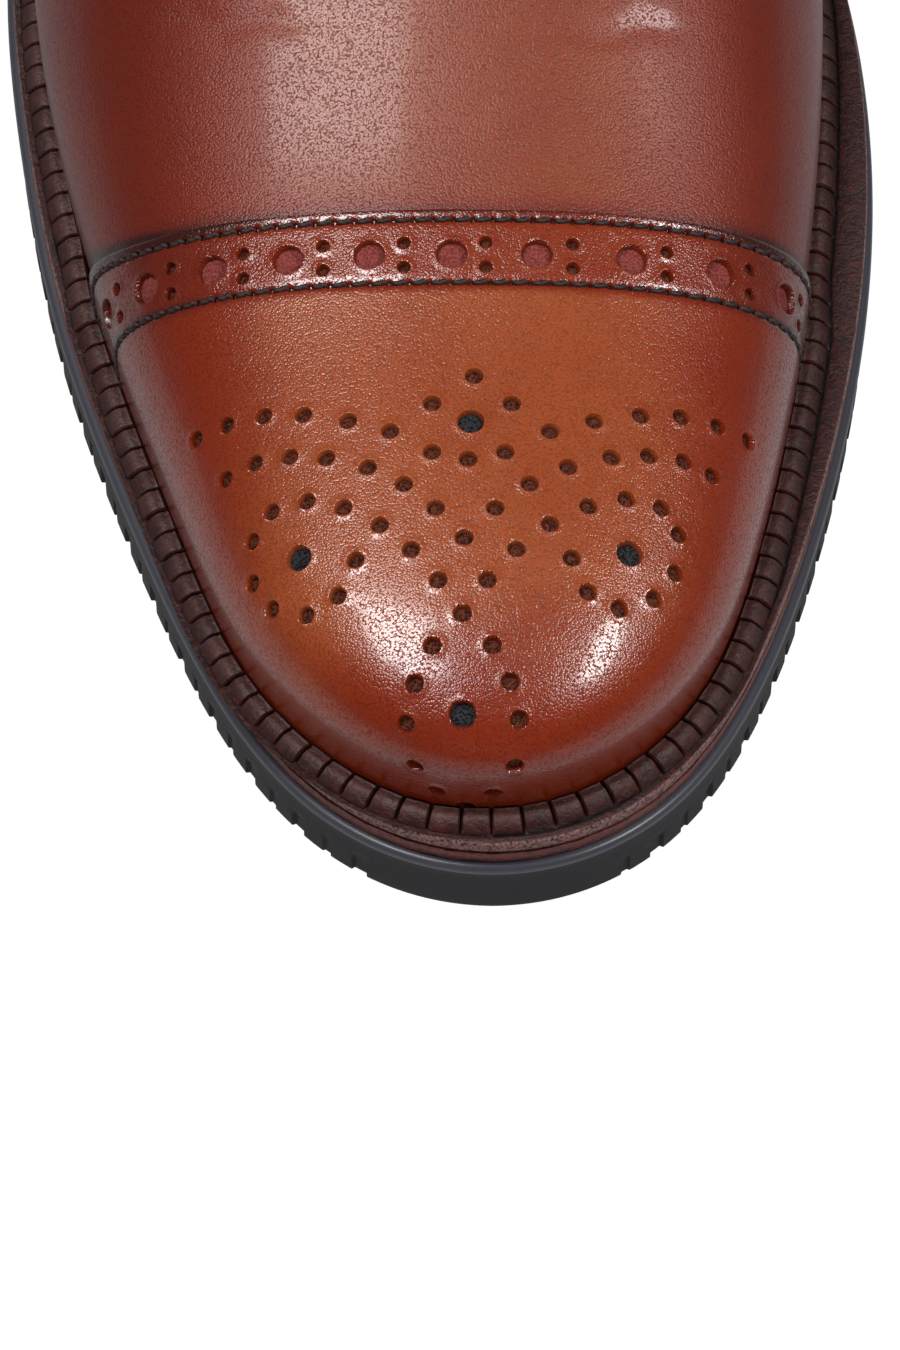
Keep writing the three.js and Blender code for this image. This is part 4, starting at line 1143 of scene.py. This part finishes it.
corners = [
    spot + side * (width / 2 + lip)
    for spot, width, depth in spots for side in (-1, 1) for lip in (-NOTCH_LIP, NOTCH_LIP)
]
plain = np.linspace(0, run[-1], 620, endpoint=False)
plain = plain[np.abs(plain[:, None] - np.array(corners)).min(axis=1) > 0.25]
stops = np.sort(np.concatenate([plain, corners]))
edge = spots_at(stops, run, closed_loop)
out = plan_normals(edge)
bite = np.zeros(len(stops))
for spot, width, depth in spots:
    bite[np.abs(stops - spot) < width / 2] = depth
behind_lugs = edge[:, 1] > along_sole(LUGS_END)
SIDE_PROFILE = (
    # out, height over the tread line, share of the notch
    (-2.4, 0.02, 0.0), (0.05, 0.0, 1.0), (0.16, 0.14, 1.0), (0.18, 0.7, 1.0), (0.16, 2.6, 1.0),
    (0.12, 3.6, 0.7), (0.1, 4.05, 0.0), (0.06, 5.2, 0.0), (0.02, 6.6, 0.0), (0.06, 7.6, 0.0),
    (0.22, 8.0, 0.0), (0.3, 8.35, 0.0), (0.24, 8.75, 0.0), (0.02, 9.05, 0.0), (-0.35, 9.25, 0.0),
    (-0.8, 9.32, 0.0), (-2.4, 9.3, 0.0),
)
rows, lip_highlight_mark = [], []
for back, level, notch in SIDE_PROFILE:
    flat = edge + out * (back - notch * bite)[:, None]
    raised = np.where(behind_lugs, np.maximum(level, LUG_DEPTH - 0.1 + level * 0.04), level)
    rows.append(np.column_stack([flat, tread_height(flat[:, 1]) + raised]))
    # The lip mark is a painted highlight: the material colours the rounded upper lip grey-blue.
    lip_highlight_mark.append(np.full(len(edge), float(level > 7.9)))
rubber_side = ring_mesh("rubber_side", rows, {"lip": np.concatenate(lip_highlight_mark)})
smooth(rubber_side, 45)


def rubber(name):
    """Black rubber with a trace of dust; a painted highlight turns its lip grey-blue, and it is shinier.
    """
    stuff = Stuff(name, Coat_Roughness=0.3, Specular_IOR_Level=0.35)
    dust = stuff.noise(0.6, 4.0, 0.6)
    fine = stuff.noise(3.0, 3.0)
    lip = stuff.mark("lip")
    black = stuff.mix(dust.step(0.4, 0.8), srgb(17, 13, 17), srgb(30, 26, 31))
    return stuff.finish(
        # Painted highlight: the lip's black is mixed towards grey-blue.
        Base_Color=stuff.mix(lip * 0.8, black, srgb(58, 58, 68)), Coat_Weight=lip * 0.6,
        Roughness=0.5 + dust * 0.15, Normal=stuff.bump(fine + dust, 0.03, 0.4),
    )


black_rubber = rubber("black_rubber")
rubber_side.data.materials.append(black_rubber)

# Quarters
# Two leathers that wrap the heel and close over the instep, lined, with folded top edges. Their
# facings are punched for the laces.
COLLAR_HEIGHT = 62
COLLAR_LINE = np.array((
    # share of the sole's length, height over the welt as a share of the collar's
    (0.52, 1.85), (0.56, 1.52), (0.605, 1.24), (0.65, 1.06), (0.71, 0.91), (0.78, 0.82), (0.86, 0.82),
    (0.93, 0.92), (0.975, 1.0), (1.0, 1.03),
))
read_collar = spline(COLLAR_LINE[:, 0], COLLAR_LINE[:, 1:])
THROAT_Y = along_sole(0.37)
FACING_TOP_Y = along_sole(0.605)
THROAT_NARROW = 2.6
THROAT_WIDE = 8
HEEL_MIDDLE_X = -1.1
EYELET_PAIRS = 5
EYELET_INSET = 9
EYELET_RADIUS = 1.6


def collar_z(y):
    share = (y - SOLE_FRONT) / SOLE_LENGTH
    return welt_height(y) + COLLAR_HEIGHT * read_collar(share)[:, 0]


def throat_half(y):
    return np.interp(y, (THROAT_Y, FACING_TOP_Y), (THROAT_NARROW, THROAT_WIDE)) / 2


def top_points(off, y):
    """Points on the last's top at a distance off from the ridge's line."""
    row = last_rows(y)
    wide = np.where(off >= 0, row["medial"], row["lateral"])
    curve = np.where(off >= 0, row["over_m"], row["over_l"])
    rise = row["top"] * (1 - (np.abs(off) / wide) ** curve) ** (1 / curve)
    return np.column_stack([row["x"] + off, y, row["z"] + rise])


def heel_points(x, z):
    """Points on the back of the heel."""
    start = np.column_stack([x, np.full(len(x), 95.0), z])
    return hit_last(start, np.tile((0.0, 1.0, 0.0), (len(x), 1)), 60.0)


def quarter_edges(side):
    """The throat edge, collar, heel line, foot and hidden front of one quarter, as lines."""
    y = np.linspace(THROAT_Y - 6, FACING_TOP_Y + 12, 400)
    throat = top_points(side * np.maximum(throat_half(y), 0.9), y)
    throat = evenly(throat[throat[:, 2] < collar_z(y)], 1.0)
    y = np.linspace(throat[-1, 1], 149, 1500)
    collar, real = side_points(y, collar_z(y), side)
    clear = real & (side * (collar[:, 0] - HEEL_MIDDLE_X) > 0.4)
    clear &= side * (collar[:, 0] - throat[-1, 0]) > 0
    clear &= np.arange(len(y)) < np.nonzero(~real & (y > 100))[0].min(initial=len(y))
    collar = collar[clear]
    heel_z = np.linspace(8, 125, 900)
    heel = heel_points(np.full(900, HEEL_MIDDLE_X), heel_z)
    kept = (heel[:, 2] < collar_z(heel[:, 1])) & (heel[:, 2] > feather_height(heel[:, 1]))
    heel = heel[kept][::-1]
    collar = evenly(np.vstack([throat[-1:], collar, heel[:1]]), 1.0)
    heart = np.array((0.0, 70.0))
    edge = vamp_edge(-8.0, 1.0)
    edge = edge[side * (edge[:, 0] - last_rows(edge[:, 1])["x"]) > 1.6]
    edge = edge if edge[0, 2] < edge[-1, 2] else edge[::-1]
    start, end = azimuth_of(heel[-1], heart), azimuth_of(edge[0], heart)
    end += 360 * (side < 0) * (end < 0)
    foot = feather_line(heart, start, end, 1.0)
    return throat, collar, evenly(heel, 1.0), foot, edge


def lining_leather(name, colour):
    """Undyed calf with its natural grain, a little uneven in shade."""
    stuff = Stuff(name, Roughness=0.6)
    grain = stuff.cells(1.6, "DISTANCE_TO_EDGE").step(0.0, 0.3)
    shade = stuff.noise(0.08, 3.0)
    dark = tuple(v * 0.6 for v in colour[:3]) + (1,)
    return stuff.finish(
        Base_Color=stuff.mix(shade.step(0.3, 0.75), colour, dark), Normal=stuff.bump(grain, 0.02, 0.5),
    )


natural_calf = lining_leather("natural_calf", srgb(176, 128, 84))
quarter_lines = {}
eyelet_spots = {}
for side, name, up in ((-1, "outer_quarter", (0, 0, -1)), (1, "inner_quarter", (0, 0, 1))):
    throat, collar, heel, foot, edge = quarter_edges(side)
    quarter_lines[side] = (throat, collar)
    outline = np.vstack([throat[:-1], collar[:-1], heel[:-1], foot[:-1], edge])
    folded = np.vstack([throat, collar])
    eyelets = []
    for y in np.linspace(THROAT_Y + 9, FACING_TOP_Y - 8, EYELET_PAIRS):
        off = side * (throat_half(y) + EYELET_INSET)
        eyelets.append(top_points(np.array([off]), np.array([y]))[0])
    eyelet_spots[side] = eyelets

    def quarter_height(points):
        near = distance_to(points, folded)
        fold = 0.5 * np.exp(-(near / 0.9) ** 2)
        furrow = 0.12 * np.exp(-((near - 2.4) / 0.5) ** 2)
        return -QUARTER_DROP - fold - furrow

    def quarter_marks(points, level, size):
        near = distance_to(points, folded)
        low = np.clip((44 - points[:, 2] + 0.25 * np.maximum(points[:, 1], 0)) / 26, 0, 1)
        heel = np.clip((points[:, 1] - 105) / 35, 0, 1)
        return {
            "burnish": np.clip(
                0.26 + 0.34 * low + 0.3 * heel + 0.35 * np.exp(-(near / 2.4) ** 2), 0, 1.1,
            ),
            # Painted shade: the eyelet holes darken with depth.
            "raw_edge_and_hole_shade": np.clip(level * 1.3 - 0.35, 0, 1),
        }

    holes = [(spot, EYELET_RADIUS, SMALL_HOLE, 20) for spot in eyelets]
    chart = DirectionChart((0, 70, 45), (0, 1, 0), up)
    quarter = panel(
        name, chart, outline, [], holes, 1.5, quarter_height, quarter_marks, INSIDE_DROP, -2.7, 4,
    )
    for finish in (vamp_calf, shaded_small_floor, shaded_small_floor, shaded_small_floor, natural_calf):
        quarter.data.materials.append(finish)
    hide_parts("upper")

# Back strip
# A narrow strip of calf over the heel seam, sewn down along both sides.
BACK_STRIP_HALF = 8.5


def back_strip_side(off, pitch):
    """One side of the strip, from the welt up to the collar."""
    z = np.linspace(8, 125, 1200)
    line = heel_points(np.full(1200, HEEL_MIDDLE_X + off), z)
    kept = (line[:, 2] < collar_z(line[:, 1])) & (line[:, 2] > feather_height(line[:, 1]))
    return evenly(line[kept], pitch)


def back_strip_end(start, end, high):
    """A short line across the strip at the collar or at the welt."""
    x = np.linspace(start[0], end[0], 30)
    z = np.linspace(start[2], end[2], 30)
    for _ in range(6):
        line = heel_points(x, z)
        z = collar_z(line[:, 1]) if high else feather_height(line[:, 1])
    return evenly(heel_points(x, z), 0.9)


strip_left = back_strip_side(-BACK_STRIP_HALF, 0.9)
strip_right = back_strip_side(BACK_STRIP_HALF, 0.9)[::-1]
strip_top = back_strip_end(strip_left[-1], strip_right[0], True)
strip_foot = back_strip_end(strip_right[-1], strip_left[0], False)
strip_outline = np.vstack([strip_left[:-1], strip_top[:-1], strip_right[:-1], strip_foot[:-1]])
strip_sides = np.vstack([strip_left, strip_right])


def strip_height(points):
    return -VAMP_DROP - 0.25 * np.exp(-(distance_to(points, strip_sides) / 0.5) ** 2)


def strip_marks(points, level, size):
    near = distance_to(points, strip_sides)
    low = np.clip((60 - points[:, 2]) / 40, 0, 1)
    burnish = np.clip(0.5 + 0.25 * low + 0.3 * np.exp(-(near / 1.4) ** 2), 0, 1.1)
    return {"burnish": burnish, "raw_edge_and_hole_shade": np.zeros(len(points))}


back_chart = DirectionChart((HEEL_MIDDLE_X, 105, 55), (-1, 0, 0), (0, 0, 1))
back_strip = panel(
    "back_strip", back_chart, strip_outline, [], [], 1.2, strip_height, strip_marks, QUARTER_DROP, -1.65,
)
back_strip.data.materials.append(vamp_calf)

# Seams of the quarters
# The vamp's edge is sewn over the quarters twice, and single rows follow the collar, the facings
# and the back strip.


def pulled_in(line, inward, distance):
    """A line on the last moved sideways over it, towards a point, and set back on the surface."""
    way = np.gradient(line, axis=0)
    normal = last_normals(line)
    beside = np.cross(normal, way)
    beside /= np.linalg.norm(beside, axis=1, keepdims=True)
    toward = np.sign(((np.asarray(inward) - line) * beside).sum(axis=1).mean())
    moved = line + beside * distance * toward
    for _ in range(3):
        normal = last_normals(moved)
        step = 0.05
        slope = (depth_field(moved + normal * step) - depth_field(moved - normal * step)) / (2 * step)
        moved = moved - normal * (depth_field(moved) / np.maximum(slope, 1e-3))[:, None]
    return moved


SEAM_PITCH = 2.2
vamp_seams = [
    evenly(pulled_in(vamp_edge(0.0, 1.5), (4, -70, 20), row), SEAM_PITCH) for row in (1.2, 3.2)
]
vamp_seam = stitches("vamp_seam", vamp_seams, -VAMP_DROP + 0.06)
vamp_seam.data.materials.append(dark_thread)
collar_seams = []
for side in (-1, 1):
    throat, collar = quarter_lines[side]
    lines = [pulled_in(collar[1:-12], (side * 40, 70, 30), 2.4)]
    lines.append(pulled_in(throat[12:], (side * 40, -20, 20), 2.2))
    lines.append(pulled_in(throat[14:-3], (side * 40, -20, 20), 17.0))
    collar_seams += [evenly(line, SEAM_PITCH) for line in lines]
collar_seam = stitches("collar_seam", collar_seams, -QUARTER_DROP + 0.02)
collar_seam.data.materials.append(dark_thread)
strip_seams = [
    evenly(pulled_in(line[2:-2], (HEEL_MIDDLE_X, 150, 60), 1.2), SEAM_PITCH)
    for line in (strip_left, strip_right)
]
strip_seam = stitches("back_strip_seam", strip_seams, -VAMP_DROP + 0.06)
strip_seam.data.materials.append(dark_thread)

# Lining of the forefoot
# Natural calf inside the toe and the forefoot, under the leather, cemented in before the shoe is
# lasted. It reaches back to the quarters.
lining_back = vamp_edge(-2.0, 1.2)
lining_foot = feather_line(
    heart, azimuth_of(lining_back[-1], heart), azimuth_of(lining_back[0], heart) - 360, 1.2,
)


def plain_marks(points, level, size):
    return {"burnish": np.zeros(len(points)), "raw_edge_and_hole_shade": np.zeros(len(points))}


toe_lining = panel(
    "toe_lining", vamp_chart, np.vstack([lining_back, lining_foot[1:-1]]), [], [], 2.6,
    lambda points: np.full(len(points), -INSIDE_DROP - 0.02), plain_marks,
    INSIDE_DROP + 0.5, -INSIDE_DROP - 0.25,
)
toe_lining.data.materials.append(natural_calf)

# Tongue
# A leaf of the same calf under the facings, with a rounded top. It is caught in the vamp's seam at
# its foot and otherwise lies free.
TONGUE_DROP = 4.0
TONGUE_HALF = 23
TONGUE_FOOT = 0.72
TONGUE_TOP_Y = FACING_TOP_Y + 9


def tongue_edge(side):
    """One side of the tongue, which widens upwards and is rounded off at its top."""
    y = np.linspace(THROAT_Y - 6, TONGUE_TOP_Y, 160)
    share = np.clip((y - THROAT_Y) / (TONGUE_TOP_Y - THROAT_Y), 0, 1)
    corner = np.clip((share - 0.88) / 0.12, 0, 1)
    rounding = np.sqrt(np.maximum(0, 1 - 0.5 * corner ** 2 * (3 - 2 * corner)))
    half = TONGUE_HALF * (TONGUE_FOOT + (1 - TONGUE_FOOT) * share) * rounding
    return top_points(side * half, y)


tongue_left, tongue_right = tongue_edge(-1), tongue_edge(1)
across = np.linspace(-1, 1, 40)
half = tongue_right[-1, 0] - last_rows(np.array([TONGUE_TOP_Y]))["x"][0]
tongue_top = top_points(across * half, np.full(40, TONGUE_TOP_Y) + 1.5 * (1 - across ** 2))
tongue_front = top_points(across[::-1] * TONGUE_HALF * TONGUE_FOOT, np.full(40, THROAT_Y - 6))
tongue_outline = np.vstack([
    evenly(tongue_left, 1.2)[:-1], evenly(tongue_top, 1.2)[:-1],
    evenly(tongue_right[::-1], 1.2)[:-1], evenly(tongue_front, 1.2)[:-1],
])
tongue_chart = DirectionChart((4, 5, 40), (1, 0, 0), (0, 1, 0))
tongue = panel(
    "tongue_leather", tongue_chart, tongue_outline, [], [], 1.8,
    lambda points: -TONGUE_DROP - 0.5 * np.exp(-(distance_to(points, tongue_outline) / 1.0) ** 2),
    lambda points, level, size: {"burnish": np.full(len(points), 0.45), "raw_edge_and_hole_shade": np.zeros(len(points))},
    TONGUE_DROP + 1.8, -TONGUE_DROP - 0.9,
)
tongue.data.materials.append(vamp_calf)
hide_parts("tongue")

# Laces
# A thin round lace of waxed cotton. Its bars cross the facings straight and dive into the eyelets.
LACE_RADIUS = 1.15
LACE_SIDES = 12
LACE_STEPS = 25
LACE_DIVE = 4.2
lace_points, lace_faces, lace_turns = [], [], []
for outer, inner in zip(eyelet_spots[-1], eyelet_spots[1]):
    ridge = last_rows(np.array([outer[1]]))["x"][0]
    off = np.linspace(inner[0] - ridge, outer[0] - ridge, LACE_STEPS)
    over = top_points(off, np.full(LACE_STEPS, outer[1]))
    from_end = np.minimum(np.arange(LACE_STEPS), np.arange(LACE_STEPS)[::-1])
    dive = np.clip(1 - from_end / 2.2, 0, 1)
    lift = -QUARTER_DROP + LACE_RADIUS * 0.9 - LACE_DIVE * dive ** 1.5
    path = evenly(over + last_normals(over) * lift[:, None], 0.8)
    way = np.gradient(path, axis=0)
    way /= np.linalg.norm(way, axis=1, keepdims=True)
    ahead = np.array((0.0, 1.0, 0.0))
    base = len(lace_points)
    for spot, direction in zip(path, way):
        beside = np.cross(direction, np.cross(ahead, direction))
        beside /= np.linalg.norm(beside)
        above = np.cross(direction, beside)
        for k in range(LACE_SIDES):
            turn = 2 * math.pi * k / LACE_SIDES
            lace_points.append(spot + (beside * math.cos(turn) + above * math.sin(turn)) * LACE_RADIUS)
            lace_turns.append(k / LACE_SIDES)
    for i in range(len(path) - 1):
        for k in range(LACE_SIDES):
            a, b = base + i * LACE_SIDES + k, base + i * LACE_SIDES + (k + 1) % LACE_SIDES
            lace_faces.append((a, b, b + LACE_SIDES, a + LACE_SIDES))
    lace_faces.append(tuple(base + k for k in range(LACE_SIDES))[::-1])
    lace_faces.append(tuple(base + (len(path) - 1) * LACE_SIDES + k for k in range(LACE_SIDES)))
laces = smooth(mesh_object("waxed_laces", lace_points, lace_faces, {"ply": lace_turns}), 50)
stuff = Stuff("waxed_lace", Roughness=0.55)
braid = stuff.cells(1.1)
laces.data.materials.append(stuff.finish(
    Base_Color=stuff.mix(braid.step(0.2, 0.8), srgb(52, 30, 24), srgb(26, 14, 12)),
    Normal=stuff.bump(braid, 0.2, 0.6),
))
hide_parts(*(f"lace_bar_{number}" for number in range(1, EYELET_PAIRS + 1)))

# Solids that show as they are
# The core of the rubber sole and the heel's top piece, the leather midsole and insole, and the
# stacked lifts of the heel, which are leather, inked and polished.
stuff = Stuff("stacked_leather", Coat_Weight=0.25, Coat_Roughness=0.25)
fibre = stuff.noise(1.2, 4.0, 0.65)
stacked_leather = stuff.finish(
    Base_Color=stuff.mix(fibre.step(0.35, 0.7), srgb(44, 17, 14), srgb(78, 33, 24)),
    Roughness=0.45, Normal=stuff.bump(fibre, 0.12, 0.6),
)
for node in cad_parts.values():
    node.data.materials.clear()
    if node.name in ("outsole", "heel_top_piece"):
        node.data.materials.append(black_rubber)
    elif node.name == "insole":
        node.data.materials.append(natural_calf)
    elif node.name == "midsole":
        node.data.materials.append(midsole_leather)
    else:
        node.data.materials.append(stacked_leather)
